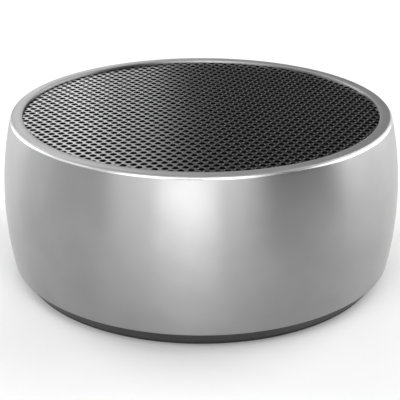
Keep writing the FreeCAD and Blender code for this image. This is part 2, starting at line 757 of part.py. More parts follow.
def driver_frame():
    """Pressed steel frame, and the four screws through its flange."""
    outside_ledge = f"({LEDGE_RADIUS} + dims.sheet * 0.4)"
    coil_hole = f"({GAP_RADIUS} + dims.winding_wall)"
    blank = turned("frame_blank", [
        (coil_hole, PLATE_TOP),
        (f"({WELL_RADIUS} + dims.sheet)", PLATE_TOP),
        (f"({WELL_RADIUS} + dims.sheet)", LEDGE_BOTTOM),
        (outside_ledge, LEDGE_BOTTOM),
        ("dims.basket_radius", f"({LEDGE_BOTTOM} + dims.basket_radius - {outside_ledge} - dims.sheet / 2)"),
        ("dims.basket_radius", BAFFLE_TOP),
        (FLANGE_RADIUS, BAFFLE_TOP),
        (FLANGE_RADIUS, FLANGE_TOP),
        ("(dims.basket_radius - dims.sheet)", FLANGE_TOP),
        ("(dims.basket_radius - dims.sheet)",
         f"({LEDGE_TOP} + dims.basket_radius - dims.sheet - {LEDGE_RADIUS})"),
        (LEDGE_RADIUS, LEDGE_TOP),
        (WELL_RADIUS, LEDGE_TOP),
        (WELL_RADIUS, WELL_TOP),
        (coil_hole, WELL_TOP),
    ])
    window_z = f"(({WELL_TOP} + {LEDGE_BOTTOM} - dims.window_height) / 2)"
    holes = []
    for quarter in range(4):
        turn = str(45 + 90 * quarter)
        holes.append(box("frame_window", "dims.window_width", LEDGE_RADIUS, "dims.window_height",
                         y=GAP_RADIUS, z=window_z, turn=turn))
        holes.append(cylinder("flange_hole", "dims.driver_hole_radius", "dims.sheet",
                              y=DRIVER_SCREW_CIRCLE, z=BAFFLE_TOP, turn=turn))
    keep("driver_frame", cut("frame_cut", blank, holes))

    screws = []
    for quarter in range(4):
        one = screw("driver_screw", "0", "0", FLANGE_TOP,
                    "dims.driver_head_radius", "dims.driver_head_height",
                    "dims.driver_screw_radius", "(dims.sheet + dims.baffle_thickness)", upwards=False)
        turn = 45 + 90 * quarter
        place(one, y=DRIVER_SCREW_CIRCLE, turn=str(turn))
        screws.append(one)
    keep("driver_screws", together("driver_screw_set", screws))


def motor():
    """Top plate, ring magnet and yoke, which the voice coil moves in."""
    keep("top_plate", ring("plate", GAP_RADIUS, "dims.top_plate_radius", PLATE_BOTTOM, PLATE_TOP))
    keep("magnet", ring("ring_magnet", f"({GAP_RADIUS} + dims.magnet_set_back)", "dims.magnet_radius",
                        MAGNET_BOTTOM, PLATE_BOTTOM))
    keep("yoke", turned("yoke_and_pole", [
        ("0", YOKE_BOTTOM),
        ("dims.yoke_radius", YOKE_BOTTOM),
        ("dims.yoke_radius", MAGNET_BOTTOM),
        ("dims.pole_radius", MAGNET_BOTTOM),
        ("dims.pole_radius", PLATE_TOP),
        ("0", PLATE_TOP),
    ]))


def moving_parts():
    """What moves with the sound: cone, dust cap, former and winding."""
    rim_top = f"({FLANGE_TOP} - dims.glue_gap)"
    rim_bottom = f"({rim_top} - dims.cone_paper)"
    neck = f"({rim_top} - dims.cone_neck_drop)"
    keep("cone", turned("cone_paper_body", [
        (FORMER_OUTER, neck),
        (f"({CONE_RADIUS} - dims.cone_rim)", rim_bottom),
        (CONE_RADIUS, rim_bottom),
        (CONE_RADIUS, rim_top),
        (f"({CONE_RADIUS} - dims.cone_rim)", rim_top),
        (FORMER_OUTER, f"({neck} + dims.cone_paper)"),
    ]))
    cap_top = f"({rim_top} - dims.cap_top)"
    dome_radius = f"(({CAP_RADIUS}^2 + dims.cap_rise^2) / (2 * dims.cap_rise))"
    dome = cut("cap_dome", sphere("cap_outside", dome_radius, f"{cap_top} - {dome_radius}"),
               [sphere("cap_inside", dome_radius, f"{cap_top} - dims.cap_film - {dome_radius}")])
    keep("dust_cap", common("cap", dome, cylinder("cap_round", CAP_RADIUS, "dims.cap_rise + dims.cap_film",
                                                  z=f"{cap_top} - dims.cap_rise - dims.cap_film")))
    former_bottom = f"({PLATE_BOTTOM} - dims.former_foot)"
    keep("voice_coil_former", ring("former", FORMER_INNER, FORMER_OUTER, former_bottom,
                                   f"({neck} + dims.cone_paper)"))
    winding_bottom = f"(({PLATE_BOTTOM} + {PLATE_TOP} - dims.winding_height) / 2)"
    keep("voice_coil", ring("winding", FORMER_OUTER, WINDING_OUTER, winding_bottom,
                            f"({winding_bottom} + dims.winding_height)"))


def suspension():
    """The rubber surround with its clamp ring, and the corrugated spider."""
    glue_inner = f"({CONE_RADIUS} - dims.surround_glue_width)"
    rubber_top = f"({FLANGE_TOP} + dims.surround_rubber)"
    roll_outside = "(dims.roll_radius + dims.surround_rubber)"
    keep("surround", turned("surround_roll", [
        (glue_inner, FLANGE_TOP),
        (CONE_RADIUS, FLANGE_TOP),
        Bend("dims.roll_radius", -1),
        (ROLL_OUTER, FLANGE_TOP),
        (SURROUND_EDGE, FLANGE_TOP),
        (SURROUND_EDGE, rubber_top),
        (f"({ROLL_OUTER} + dims.surround_rubber / 2)", rubber_top),
        Bend(roll_outside, 1),
        (f"({CONE_RADIUS} - dims.surround_rubber / 2)", rubber_top),
        (glue_inner, rubber_top),
    ]))
    keep("surround_clamp_ring", ring("clamp", f"({SURROUND_EDGE} - dims.clamp_width)", SURROUND_EDGE,
                                     rubber_top, f"({rubber_top} + dims.clamp_height)"))
    inner = f"({FORMER_OUTER} + dims.glue_gap)"
    outer = f"({LEDGE_RADIUS} - dims.glue_gap)"
    flat = f"({outer} - dims.spider_flat)"
    folds = 6
    lower = []
    for fold in range(folds + 1):
        radius = f"({inner} + ({flat} - {inner}) * {fold} / {folds})"
        height = f"({LEDGE_TOP} + dims.spider_wave * {fold % 2})"
        lower.append((radius, height))
    lower.append((outer, LEDGE_TOP))
    upper = [(radius, f"({height} + dims.spider_cloth)") for radius, height in reversed(lower)]
    keep("spider", turned("spider_folds", lower + upper))


def terminals():
    """Insulating strip under the frame's ledge, with its two solder tags."""
    strip_bottom = f"({LEDGE_BOTTOM} - dims.strip_thickness)"
    strip_inner = f"({WELL_RADIUS} + dims.sheet + dims.strip_set_back)"
    keep("terminal_strip", box("strip", "dims.strip_width", "dims.strip_depth", "dims.strip_thickness",
                               y=strip_inner, z=strip_bottom))
    tags = [box("tag", "dims.tag_width", "dims.tag_length", "dims.tag_thickness", x=f"{sign}dims.tag_x",
                y=f"{strip_inner} + dims.tag_set_back", z=f"{strip_bottom} - dims.tag_thickness")
            for sign in ("-", "")]
    keep("terminal_tags", together("tag_pair", tags))


# ---------------------------------------------------------------- battery and electronics

def battery():
    """Flat cell between the bosses, on its foam pad."""
    long = f"(2 * ({BOSS_X} - dims.boss_radius - dims.battery_clearance))"
    keep("battery_cell", box("cell", long, "dims.battery_width", "dims.battery_thickness",
                             y="-dims.battery_width / 2", z=BATTERY_BOTTOM))
    keep("battery_pad", box("pad", f"({long} - 2 * dims.pad_inset)",
                            "dims.battery_width - 2 * dims.pad_inset", "dims.pad_thickness",
                            y="-dims.battery_width / 2 + dims.pad_inset", z=FLOOR))


def main_board():
    """Circuit board that fills the back of the case, and its two screws."""
    blank = turned("board_blank", [
        ("dims.board_inner", BOARD_BOTTOM),
        (BOARD_EDGE, BOARD_BOTTOM),
        (BOARD_EDGE, BOARD_TOP),
        ("dims.board_inner", BOARD_TOP),
    ], sweep="2 * dims.board_half_sweep", turn="90 - dims.board_half_sweep")
    holes = [cylinder("board_hole", "dims.board_hole_radius", "dims.board_thickness", *post_place(sign),
                      BOARD_BOTTOM) for sign in ("-", "")]
    keep("main_board", cut("board_cut", blank, holes))
    screws = [screw("board_screw", *post_place(sign), BOARD_TOP,
                    "dims.board_head_radius", "dims.board_head_height",
                    "dims.board_screw_radius", "dims.board_screw_length", upwards=False)
              for sign in ("-", "")]
    keep("board_screws", together("board_screw_pair", screws))


def board_components():
    """The larger parts soldered on the board."""
    keep("radio_module", box("module", "dims.module_size", "dims.module_size", "dims.module_height",
                             y="dims.module_at - dims.module_size / 2", z=BOARD_TOP,
                             turn="dims.module_angle"))
    keep("amplifier_chip", box("chip", "dims.chip_size", "dims.chip_size", "dims.chip_height",
                               y="dims.chip_at - dims.chip_size / 2", z=BOARD_TOP, turn="dims.chip_angle"))
    keep("capacitor", cylinder("capacitor_can", "dims.capacitor_radius", "dims.capacitor_height",
                               y="dims.capacitor_at", z=BOARD_TOP, turn="dims.capacitor_angle"))
    keep("inductor", box("inductor_block", "dims.inductor_size", "dims.inductor_size",
                         "dims.inductor_height",
                         y=f"{TACT_FACE} - dims.tact_depth - dims.inductor_gap - dims.inductor_size",
                         z=BOARD_TOP, turn="dims.inductor_angle"))


def wiring():
    """Two headers on the board, their plugs, and the wires to the driver and to the battery."""
    headers, plugs = [], []
    for x, y in (("dims.speaker_plug_x", "dims.speaker_plug_y"),
                 ("dims.battery_plug_x", "dims.battery_plug_y")):
        outer_wide = "(dims.plug_width + 2 * (dims.plug_clearance + dims.header_wall))"
        outer_deep = "(dims.plug_depth + 2 * (dims.plug_clearance + dims.header_wall))"
        hole_wide = "(dims.plug_width + 2 * dims.plug_clearance)"
        hole_deep = "(dims.plug_depth + 2 * dims.plug_clearance)"
        block = box("header_block", outer_wide, outer_deep, "dims.header_height",
                    x, f"{y} - {outer_deep} / 2", BOARD_TOP)
        hollow = box("header_hollow", hole_wide, hole_deep, "dims.header_height",
                     x, f"{y} - {hole_deep} / 2", f"{BOARD_TOP} + dims.plug_floor")
        headers.append(cut("header", block, [hollow]))
        plugs.append(box("plug", "dims.plug_width", "dims.plug_depth", "dims.plug_height", x,
                         f"{y} - dims.plug_depth / 2", f"{BOARD_TOP} + dims.plug_floor + dims.plug_seat"))
    keep("wire_headers", together("header_pair", headers))
    keep("wire_plugs", together("plug_pair", plugs))

    plug_top = value(f"{BOARD_TOP} + dims.plug_floor + dims.plug_seat + dims.plug_height")
    half_pitch = value("dims.wire_pitch / 2")
    tag_bottom = value(f"{LEDGE_BOTTOM} - dims.strip_thickness - dims.tag_thickness")
    tag_x = value("dims.tag_x")
    tag_y = value(f"{WELL_RADIUS} + dims.sheet + dims.strip_set_back + dims.tag_set_back"
                  " + dims.tag_length - 1")
    plug_x, plug_y = value("dims.speaker_plug_x"), value("dims.speaker_plug_y")
    speaker = []
    for side in (-1, 1):
        speaker.append(wire_tube([
            Vector(side * tag_x, tag_y, tag_bottom),
            Vector(side * tag_x, tag_y, tag_bottom - 2.6),
            Vector(plug_x + side * half_pitch, plug_y, plug_top + 3.2),
            Vector(plug_x + side * half_pitch, plug_y, plug_top),
        ]))
    battery_back = value("dims.battery_width / 2")
    leaves = value(f"{BATTERY_TOP} - 0.6")
    to_x, to_y = value("dims.battery_plug_x"), value("dims.battery_plug_y")
    supply = []
    for side in (-1, 1):
        x = to_x + side * half_pitch
        supply.append(wire_tube([
            Vector(x, battery_back, leaves),
            Vector(x, battery_back + 3.0, leaves),
            Vector(x, battery_back + 6.4, leaves + 5.4),
            Vector(x, to_y, plug_top + 3.2),
            Vector(x, to_y, plug_top),
        ]))
    for label, tubes in (("speaker_wires", speaker), ("battery_wires", supply)):
        feature = doc.addObject("Part::Feature", label + "_pair")
        feature.Shape = Part.makeCompound(tubes)
        keep(label, feature)


# ---------------------------------------------------------------- control panel

def panel_skin(name, inner, set_back, half_height):
    """A band of the barrel, from a radius out to the barrel's arc set in by set_back."""
    low = f"({CONTROLS} - {half_height})"
    high = f"({CONTROLS} + {half_height})"
    return turned(name, [
        (inner, low),
        (barrel(low, set_back), low),
        Bend(f"(dims.barrel_radius - {set_back})", 1),
        (barrel(high, set_back), high),
        (inner, high),
    ])


def control_panel():
    """Moulded panel that fills the window, follows the barrel, and is held by its flange from inside."""
    reach = "dims.body_radius / 2"
    face = common("panel_face",
                  panel_skin("panel_face_band", PANEL_INNER, "dims.panel_set_back", FLANGE_HALF_HEIGHT),
                  stadium("panel_face_outline", f"({PANEL_HALF_LENGTH} - dims.panel_clearance)",
                          "(dims.panel_half_height - dims.panel_clearance)", "dims.body_radius", reach,
                          CONTROLS))
    flange = common("panel_flange_ring",
                    panel_skin("panel_flange_band", PANEL_INNER, "(dims.wall + dims.panel_clearance)",
                               FLANGE_HALF_HEIGHT),
                    stadium("panel_flange_outline", f"({PANEL_HALF_LENGTH} + dims.panel_flange)",
                            FLANGE_HALF_HEIGHT, "dims.body_radius", reach, CONTROLS))
    holes = [cylinder(f"{name}_hole", "(dims.button_radius + dims.button_clearance)", "dims.body_radius",
                      y=reach, z=CONTROLS, turn=turn, along="y") for name, turn in BUTTONS.items()]
    slider_slot = box("slider_slot", "(dims.slider_width + dims.slider_travel + 2 * dims.slider_clearance)",
                      "dims.body_radius", "(dims.slider_height + 2 * dims.slider_clearance)", y=reach,
                      z=f"{CONTROLS} - dims.slider_height / 2 - dims.slider_clearance", turn=SWITCH_TURN)
    usb_hole = place(stadium("usb_hole", "(dims.usb_width / 2 + dims.socket_clearance)",
                             "(dims.usb_height / 2 + dims.socket_clearance)", "dims.body_radius", reach,
                             CONTROLS),
                     turn=USB_TURN)
    aux_hole = cylinder("aux_hole", "(dims.aux_barrel + dims.socket_clearance)", "dims.body_radius", y=reach,
                        z=CONTROLS, turn=AUX_TURN, along="y")
    light_hole = cylinder("light_hole", "(dims.light_radius + dims.light_clearance)", "dims.body_radius",
                          y=reach, z=f"{CONTROLS} + dims.light_rise", turn=LIGHT_TURN, along="y")
    microphone_hole = cylinder("microphone_hole", "dims.microphone_hole", "dims.body_radius", y=reach,
                               z=f"{CONTROLS} - dims.microphone_drop", turn=LIGHT_TURN, along="y")
    keep("control_panel", cut("panel_cut", fuse("panel_blank", [face, flange]),
                              [*holes, slider_slot, usb_hole, aux_hole, light_hole, microphone_hole]))


def buttons():
    """Three round buttons, each with a lip behind the panel and a stem on its switch's plunger."""
    lip_radius = "(dims.button_radius + dims.button_lip)"
    switches = []
    for name, turn in BUTTONS.items():
        crown = common(f"{name}_crown",
                       panel_skin(f"{name}_crown_band", BUTTON_LIP_INNER,
                                  "(dims.panel_set_back - dims.button_proud)", lip_radius),
                       cylinder(f"{name}_crown_round", "dims.button_radius", "dims.body_radius",
                                y="dims.body_radius / 2", z=CONTROLS, along="y"))
        lip = common(f"{name}_lip",
                     ring(f"{name}_lip_band", BUTTON_LIP_INNER, BUTTON_LIP_OUTER,
                          f"({CONTROLS} - {lip_radius})", f"({CONTROLS} + {lip_radius})"),
                     cylinder(f"{name}_lip_round", lip_radius, "dims.body_radius", y="dims.body_radius / 2",
                              z=CONTROLS, along="y"))
        stem = cylinder(f"{name}_stem", "dims.stem_radius", "(dims.stem_length + dims.button_lip_thickness)",
                        y=STEM_END, z=CONTROLS, along="y")
        keep(f"{name}_button", place(fuse(f"{name}_cap", [crown, lip, stem]), turn=turn))
        keep(f"{name}_plunger", cylinder(f"{name}_pin", "dims.plunger_radius", "dims.plunger_length",
                                         y=f"{STEM_END} - dims.plunger_length", z=CONTROLS,
                                         turn=turn, along="y"))
        block = box(f"{name}_tact", "dims.tact_width", "dims.tact_depth", "dims.tact_height",
                    y=f"{TACT_FACE} - dims.tact_depth", z=BOARD_TOP)
        depth = "(dims.plunger_bite + dims.plunger_room)"
        bore = cylinder(f"{name}_tact_bore", "(dims.plunger_radius + dims.plunger_clearance)", depth,
                        y=f"{TACT_FACE} - {depth}", z=CONTROLS, along="y")
        switches.append(place(cut(f"{name}_tact_cut", block, [bore]), turn=turn))
    keep("button_switches", together("tact_switches", switches))


def power_switch():
    """Slide switch on the board, its lever, and the cap that a finger moves. Built at its off end."""
    off = "(-dims.slider_travel / 2)"
    tip = f"({PANEL_FACE} + dims.slider_proud)"
    knob = box("slider_knob", "dims.slider_width", f"{tip} - {SLIDER_LIP_INNER}", "dims.slider_height",
               x=off, y=SLIDER_LIP_INNER, z=f"{CONTROLS} - dims.slider_height / 2")
    lip = box("slider_lip", "dims.slider_lip_width", "dims.slider_lip_thickness", "dims.slider_lip_height",
              x=off, y=SLIDER_LIP_INNER, z=f"{CONTROLS} - dims.slider_lip_height / 2")
    keep("power_switch_cap", place(fuse("slider_cap", [knob, lip]), turn=SWITCH_TURN))
    keep("power_switch_lever", box("lever", "dims.lever_width", "(dims.slide_body_gap + dims.lever_bite)",
                                   "dims.lever_height", x=off, y=f"{SLIDE_BODY_FACE} - dims.lever_bite",
                                   z=f"{CONTROLS} - dims.lever_height / 2", turn=SWITCH_TURN))
    block = box("slide_block", "dims.slide_body_width", "dims.slide_body_depth", "dims.slide_body_height",
                y=f"{SLIDE_BODY_FACE} - dims.slide_body_depth", z=BOARD_TOP)
    slot = box("slide_slot", "(dims.lever_width + dims.slider_travel + 2 * dims.lever_clearance)",
               "(dims.lever_bite + dims.lever_clearance)", "(dims.lever_height + 2 * dims.lever_clearance)",
               y=f"{SLIDE_BODY_FACE} - dims.lever_bite - dims.lever_clearance",
               z=f"{CONTROLS} - dims.lever_height / 2 - dims.lever_clearance")
    keep("power_switch_body", place(cut("slide_switch", block, [slot]), turn=SWITCH_TURN))


def light_and_microphone():
    """Light pipe with its side-view lamp, and the microphone behind its pinhole."""
    height = f"{CONTROLS} + dims.light_rise"
    tail = f"({PANEL_INNER} - dims.light_lip_thickness - dims.light_tail)"
    pipe = common("light_rod",
                  panel_skin("light_band", tail, "dims.panel_set_back", FLANGE_HALF_HEIGHT),
                  cylinder("light_round", "dims.light_radius", "dims.body_radius",
                           y="dims.body_radius / 2", z=height, along="y"))
    collar = common("light_collar",
                    ring("light_collar_band", f"({PANEL_INNER} - dims.light_lip_thickness)", PANEL_INNER,
                         f"({CONTROLS} - {FLANGE_HALF_HEIGHT})", f"({CONTROLS} + {FLANGE_HALF_HEIGHT})"),
                    cylinder("light_collar_round", "(dims.light_radius + dims.light_lip)", "dims.body_radius",
                             y="dims.body_radius / 2", z=height, along="y"))
    keep("status_light_pipe", place(fuse("light_pipe", [pipe, collar]), turn=LIGHT_TURN))
    led_height = "(dims.control_rise + dims.light_rise + dims.light_radius)"
    keep("status_led", box("side_led", "dims.led_width", "dims.led_depth", led_height,
                           y=f"{tail} - dims.led_gap - dims.led_depth", z=BOARD_TOP, turn=LIGHT_TURN))
    capsule = common("capsule",
                     ring("capsule_band", f"({PANEL_INNER} - dims.microphone_thickness)", PANEL_INNER,
                          f"({CONTROLS} - {FLANGE_HALF_HEIGHT})", f"({CONTROLS} + {FLANGE_HALF_HEIGHT})"),
                     cylinder("capsule_round", "dims.microphone_radius", "dims.body_radius",
                              y="dims.body_radius / 2", z=f"{CONTROLS} - dims.microphone_drop", along="y"))
    keep("microphone", place(capsule, turn=LIGHT_TURN))


def sockets():
    """Charging socket with its tongue, and the round audio socket."""
    back = f"({SOCKET_FACE} - dims.usb_length)"
    tube = cut("usb_tube",
               stadium("usb_outside", "dims.usb_width / 2", "dims.usb_height / 2", "dims.usb_length",
                       back, CONTROLS),
               [stadium("usb_inside", "(dims.usb_width / 2 - dims.usb_wall)",
                        "(dims.usb_height / 2 - dims.usb_wall)", "dims.usb_length", back, CONTROLS)])
    foot_height = "(dims.control_rise - dims.usb_height / 2 + dims.usb_wall)"
    foot_x = "(dims.usb_width / 2 - dims.usb_height / 2)"
    feet = [box("usb_foot", "dims.usb_foot_width", "dims.usb_foot_length", foot_height,
                x=f"{sign}{foot_x}", y=back, z=BOARD_TOP) for sign in ("-", "")]
    keep("usb_socket_shell", place(fuse("usb_shell", [tube, *feet]), turn=USB_TURN))

    stopper = stadium("usb_stopper", "(dims.usb_width / 2 - dims.usb_wall)",
                      "(dims.usb_height / 2 - dims.usb_wall)",
                      "(dims.usb_length - dims.usb_plug_depth)", back, CONTROLS)
    tongue = box("usb_tongue", "dims.tongue_width", "(dims.usb_length - dims.tongue_set_back)",
                 "dims.tongue_thickness", y=back, z=f"{CONTROLS} - dims.tongue_thickness / 2")
    keep("usb_socket_tongue", place(fuse("usb_insert", [stopper, tongue]), turn=USB_TURN))

    body_face = f"({PANEL_INNER} - dims.aux_body_gap)"
    block = box("aux_block", "dims.aux_body_width", "dims.aux_body_length", "(2 * dims.control_rise)",
                y=f"{body_face} - dims.aux_body_length", z=BOARD_TOP)
    barrel_tube = cylinder("aux_tube", "dims.aux_barrel", f"{SOCKET_FACE} - {body_face} + 1",
                           y=f"{body_face} - 1", z=CONTROLS, along="y")
    bore = cylinder("aux_bore_hole", "dims.aux_bore", "dims.aux_depth", y=f"{SOCKET_FACE} - dims.aux_depth",
                    z=CONTROLS, along="y")
    keep("aux_socket", place(cut("aux_cut", fuse("aux_blank", [block, barrel_tube]), [bore]), turn=AUX_TURN))


# ---------------------------------------------------------------- build, check and write

def main():
    for build in (outer_shell, grille_and_cloth, baffle, base_plate, foot_and_case_screws,
                  driver_frame, motor, moving_parts, suspension, terminals, battery, main_board,
                  board_components, wiring, control_panel, buttons, power_switch, light_and_microphone,
                  sockets):
        build()
    doc.recompute()
    failed = [item.Label for item in doc.Objects if "Invalid" in item.State or "Error" in item.State]
    if failed:
        raise RuntimeError(f"these objects failed: {failed}")
    for label, piece in parts.items():
        shape = piece.Shape
        if shape.isNull() or not shape.isValid() or not shape.Solids:
            raise RuntimeError(f"{label} isn't a valid solid")
    os.makedirs("parts", exist_ok=True)
    for label, piece in parts.items():
        piece.Shape.exportStep(f"parts/{label}.step")


main()
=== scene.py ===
"""Looks for a round desktop speaker: a bead-blasted aluminium barrel with a perforated steel grille
in its top, on a black moulded base with a rubber foot, and with its controls low on its back."""
import json
import math

import bpy
from bpy.props import FloatProperty, FloatVectorProperty, IntProperty, PointerProperty
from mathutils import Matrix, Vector


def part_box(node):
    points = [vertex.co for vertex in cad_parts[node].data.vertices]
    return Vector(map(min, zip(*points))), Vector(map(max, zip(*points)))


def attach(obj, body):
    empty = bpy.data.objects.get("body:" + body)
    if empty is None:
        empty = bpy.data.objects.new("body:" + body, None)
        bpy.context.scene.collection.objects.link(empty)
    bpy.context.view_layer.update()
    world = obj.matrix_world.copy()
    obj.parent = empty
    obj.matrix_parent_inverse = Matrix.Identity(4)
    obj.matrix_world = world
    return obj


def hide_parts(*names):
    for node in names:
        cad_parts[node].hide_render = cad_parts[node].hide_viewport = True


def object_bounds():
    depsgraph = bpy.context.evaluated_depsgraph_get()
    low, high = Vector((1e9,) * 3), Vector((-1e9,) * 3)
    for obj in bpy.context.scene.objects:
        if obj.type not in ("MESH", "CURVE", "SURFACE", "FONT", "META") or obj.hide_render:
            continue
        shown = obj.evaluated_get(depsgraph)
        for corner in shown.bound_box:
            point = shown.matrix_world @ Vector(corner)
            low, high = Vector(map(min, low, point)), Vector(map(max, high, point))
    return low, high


bl_info = {
    "name": "Desktop Speaker",
    "version": (1, 0, 0),
    "blender": (4, 5, 0),
    "location": "View3D > Sidebar > Speaker",
    "description": "Models the visible pieces of a round desktop speaker, with its finishes and stage",
    "category": "Object",
}

MM = 0.001

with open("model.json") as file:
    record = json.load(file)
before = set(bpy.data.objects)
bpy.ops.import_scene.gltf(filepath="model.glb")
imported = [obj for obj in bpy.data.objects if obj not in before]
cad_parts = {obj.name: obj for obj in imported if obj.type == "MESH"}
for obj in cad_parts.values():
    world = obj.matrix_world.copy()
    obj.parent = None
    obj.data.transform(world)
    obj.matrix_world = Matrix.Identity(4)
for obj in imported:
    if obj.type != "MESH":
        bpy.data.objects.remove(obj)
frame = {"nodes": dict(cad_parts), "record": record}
cad_low, cad_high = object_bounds()


# ---------------------------------------------------------------- colours and materials

def linear(code):
    """An sRGB hex colour such as "#C8C9CB" as linear RGBA."""
    channels = [int(code[i:i + 2], 16) / 255 for i in (1, 3, 5)]
    return tuple(c / 12.92 if c <= 0.04045 else ((c + 0.055) / 1.055) ** 2.4 for c in channels) + (1.0,)


def add_node(material, kind, place, settings=None, inputs=None):
    """Adds a node. settings are its own properties; inputs are values, or sockets to link from."""
    node = material.node_tree.nodes.new(kind)
    node.location = place
    for name, setting in (settings or {}).items():
        setattr(node, name, setting)
    for name, entry in (inputs or {}).items():
        if isinstance(entry, bpy.types.NodeSocket):
            material.node_tree.links.new(entry, node.inputs[name])
        else:
            node.inputs[name].default_value = entry
    return node


def new_material(name, **constants):
    """A material with one Principled shader, whose constant sockets are set by name."""
    material = bpy.data.materials.new(name)
    material.use_nodes = True
    shader = material.node_tree.nodes["Principled BSDF"]
    for socket, setting in constants.items():
        shader.inputs[socket.replace("_", " ")].default_value = setting
    return material, shader


def link(material, source, target):
    """Joins a node's output to a socket of the shader."""
    material.node_tree.links.new(source, target)


def grain(material, shader, size, depth, roughness, spread, detail=3.0, stretch=(1, 1, 1)):
    """Fine unevenness: a noise of that grain size, which lifts the surface by depth and moves its
    roughness up and down by spread."""
    place = add_node(material, "ShaderNodeTexCoord", (-1100, 0))
    mapping = add_node(material, "ShaderNodeMapping", (-920, 0), inputs={
        "Vector": place.outputs["Object"], "Scale": stretch})
    noise = add_node(material, "ShaderNodeTexNoise", (-720, 0), inputs={
        "Vector": mapping.outputs["Vector"], "Scale": 1 / size, "Detail": detail, "Roughness": 0.6})
    band = add_node(material, "ShaderNodeMapRange", (-480, 120), inputs={
        "Value": noise.outputs["Fac"], "From Min": 0.25, "From Max": 0.75,
        "To Min": roughness - spread, "To Max": roughness + spread})
    bump = add_node(material, "ShaderNodeBump", (-480, -160), inputs={
        "Height": noise.outputs["Fac"], "Distance": depth, "Strength": 1.0})
    link(material, band.outputs["Result"], shader.inputs["Roughness"])
    link(material, bump.outputs["Normal"], shader.inputs["Normal"])


def mottle(material, shader, first, second, size):
    """Slow colour drift between two close shades, in patches of that size."""
    place = add_node(material, "ShaderNodeTexCoord", (-920, 420))
    noise = add_node(material, "ShaderNodeTexNoise", (-720, 420), inputs={
        "Vector": place.outputs["Object"], "Scale": 1 / size, "Detail": 2.0})
    ramp = add_node(material, "ShaderNodeValToRGB", (-480, 420), inputs={"Fac": noise.outputs["Fac"]})
    ramp.color_ramp.elements[0].position = 0.35
    ramp.color_ramp.elements[0].color = linear(first)
    ramp.color_ramp.elements[1].position = 0.65
    ramp.color_ramp.elements[1].color = linear(second)
    link(material, ramp.outputs["Color"], shader.inputs["Base Color"])


def blasted_aluminium():
    """Spun aluminium, bead-blasted and clear anodised: broad soft highlights over a faint sandy grain.
    The blast's grain is about 0.1 mm and is drawn at 0.35 mm, so that it shows."""
    material, shader = new_material("Bead-blasted anodised aluminium", Metallic=1.0, Anisotropic=0.75,
                                    Anisotropic_Rotation=0.25)
    mottle(material, shader, "#949494", "#999999", 9 * MM)
    grain(material, shader, 0.35 * MM, 0.002 * MM, 0.38, 0.02)
    round_axis = add_node(material, "ShaderNodeTangent", (-480, -420), settings={
        "direction_type": "RADIAL", "axis": "Z"})
    link(material, round_axis.outputs["Tangent"], shader.inputs["Tangent"])
    return material


def faced_rim():
    """The rim, faced flat and blasted after the spinning: the same aluminium without lines from the
    spinning, so it is an even mid grey whose highlights spread alike in every direction."""
    material, shader = new_material("Faced and anodised aluminium", Metallic=1.0)
    mottle(material, shader, "#949494", "#999999", 9 * MM)
    grain(material, shader, 0.3 * MM, 0.003 * MM, 0.48, 0.04)
    return material


def lacquered_grille():
    """Punched steel sheet, electrocoated satin black: black where it faces the eye, and silvery where
    light skims its webs. The coat's orange peel is 0.25 mm across."""
    material, shader = new_material("Punched steel, satin black coat", IOR=1.6)
    mottle(material, shader, "#0F0F10", "#151516", 5 * MM)
    grain(material, shader, 0.25 * MM, 0.002 * MM, 0.25, 0.03)
    return material


def cut_bevel():
    """The lower half of the bevel round the rim, cut bright with a diamond tool after the blasting and
    anodised clear: a narrow line that mirrors the lights above it."""
    material, shader = new_material("Diamond-cut aluminium", Metallic=1.0)
    mottle(material, shader, "#C8C8C8", "#CCCCCC", 9 * MM)
    grain(material, shader, 0.3 * MM, 0.001 * MM, 0.26, 0.02)
    return material


def hole_walls_painted_shade():
    """The walls of the punched holes: the grille's black coat painted darker and matt there, as painted
    shade in the holes, so the holes look black.
    """
    material, shader = new_material("Punched hole walls, coat darkened as painted shade", Specular_IOR_Level=0.15)
    mottle(material, shader, "#020202", "#060606", 5 * MM)
    grain(material, shader, 0.25 * MM, 0.004 * MM, 0.85, 0.05)
    return material


def dust_cloth():
    """Black woven polyester, its ribs 1.6 mm apart: shows through the holes as an even matt black."""
    material, shader = new_material("Woven polyester dust cloth", Roughness=0.95, Specular_IOR_Level=0.15)
    place = add_node(material, "ShaderNodeTexCoord", (-1000, 0))
    threads = []
    for direction, level in (("X", 0), ("Y", -240)):
        threads.append(add_node(
            material, "ShaderNodeTexWave", (-760, level),
            settings={"wave_type": "BANDS", "bands_direction": direction, "wave_profile": "SIN"},
            inputs={"Vector": place.outputs["Object"], "Scale": 200.0, "Distortion": 0.0}))
    lift = add_node(material, "ShaderNodeMath", (-540, -120), settings={"operation": "MULTIPLY"}, inputs={
        0: threads[0].outputs["Fac"], 1: threads[1].outputs["Fac"]})
    ramp = add_node(material, "ShaderNodeValToRGB", (-320, 120), inputs={"Fac": lift.outputs["Value"]})
    ramp.color_ramp.elements[0].color = linear("#020202")
    ramp.color_ramp.elements[1].color = linear("#0A0A0A")
    bump = add_node(material, "ShaderNodeBump", (-320, -160), inputs={
        "Height": lift.outputs["Value"], "Distance": 0.05 * MM})
    link(material, ramp.outputs["Color"], shader.inputs["Base Color"])
    link(material, bump.outputs["Normal"], shader.inputs["Normal"])
    return material


def moulded_plastic(name, dark, light, roughness, grain_size=0.3 * MM, depth=0.012 * MM):
    """Moulded plastic with a spark-eroded texture, or a coat or a ceramic as even as that: soft
    highlights that sparkle slightly."""
    material, shader = new_material(name, IOR=1.53)
    mottle(material, shader, dark, light, 6 * MM)
    grain(material, shader, grain_size, depth, roughness, 0.06)
    return material


def moulded_rubber(name, dark, light):
    """Moulded rubber or soft wire insulation: matt, a little dusty."""
    material, shader = new_material(name, IOR=1.42)
    mottle(material, shader, dark, light, 3 * MM)
    grain(material, shader, 0.4 * MM, 0.02 * MM, 0.78, 0.06)
    return material


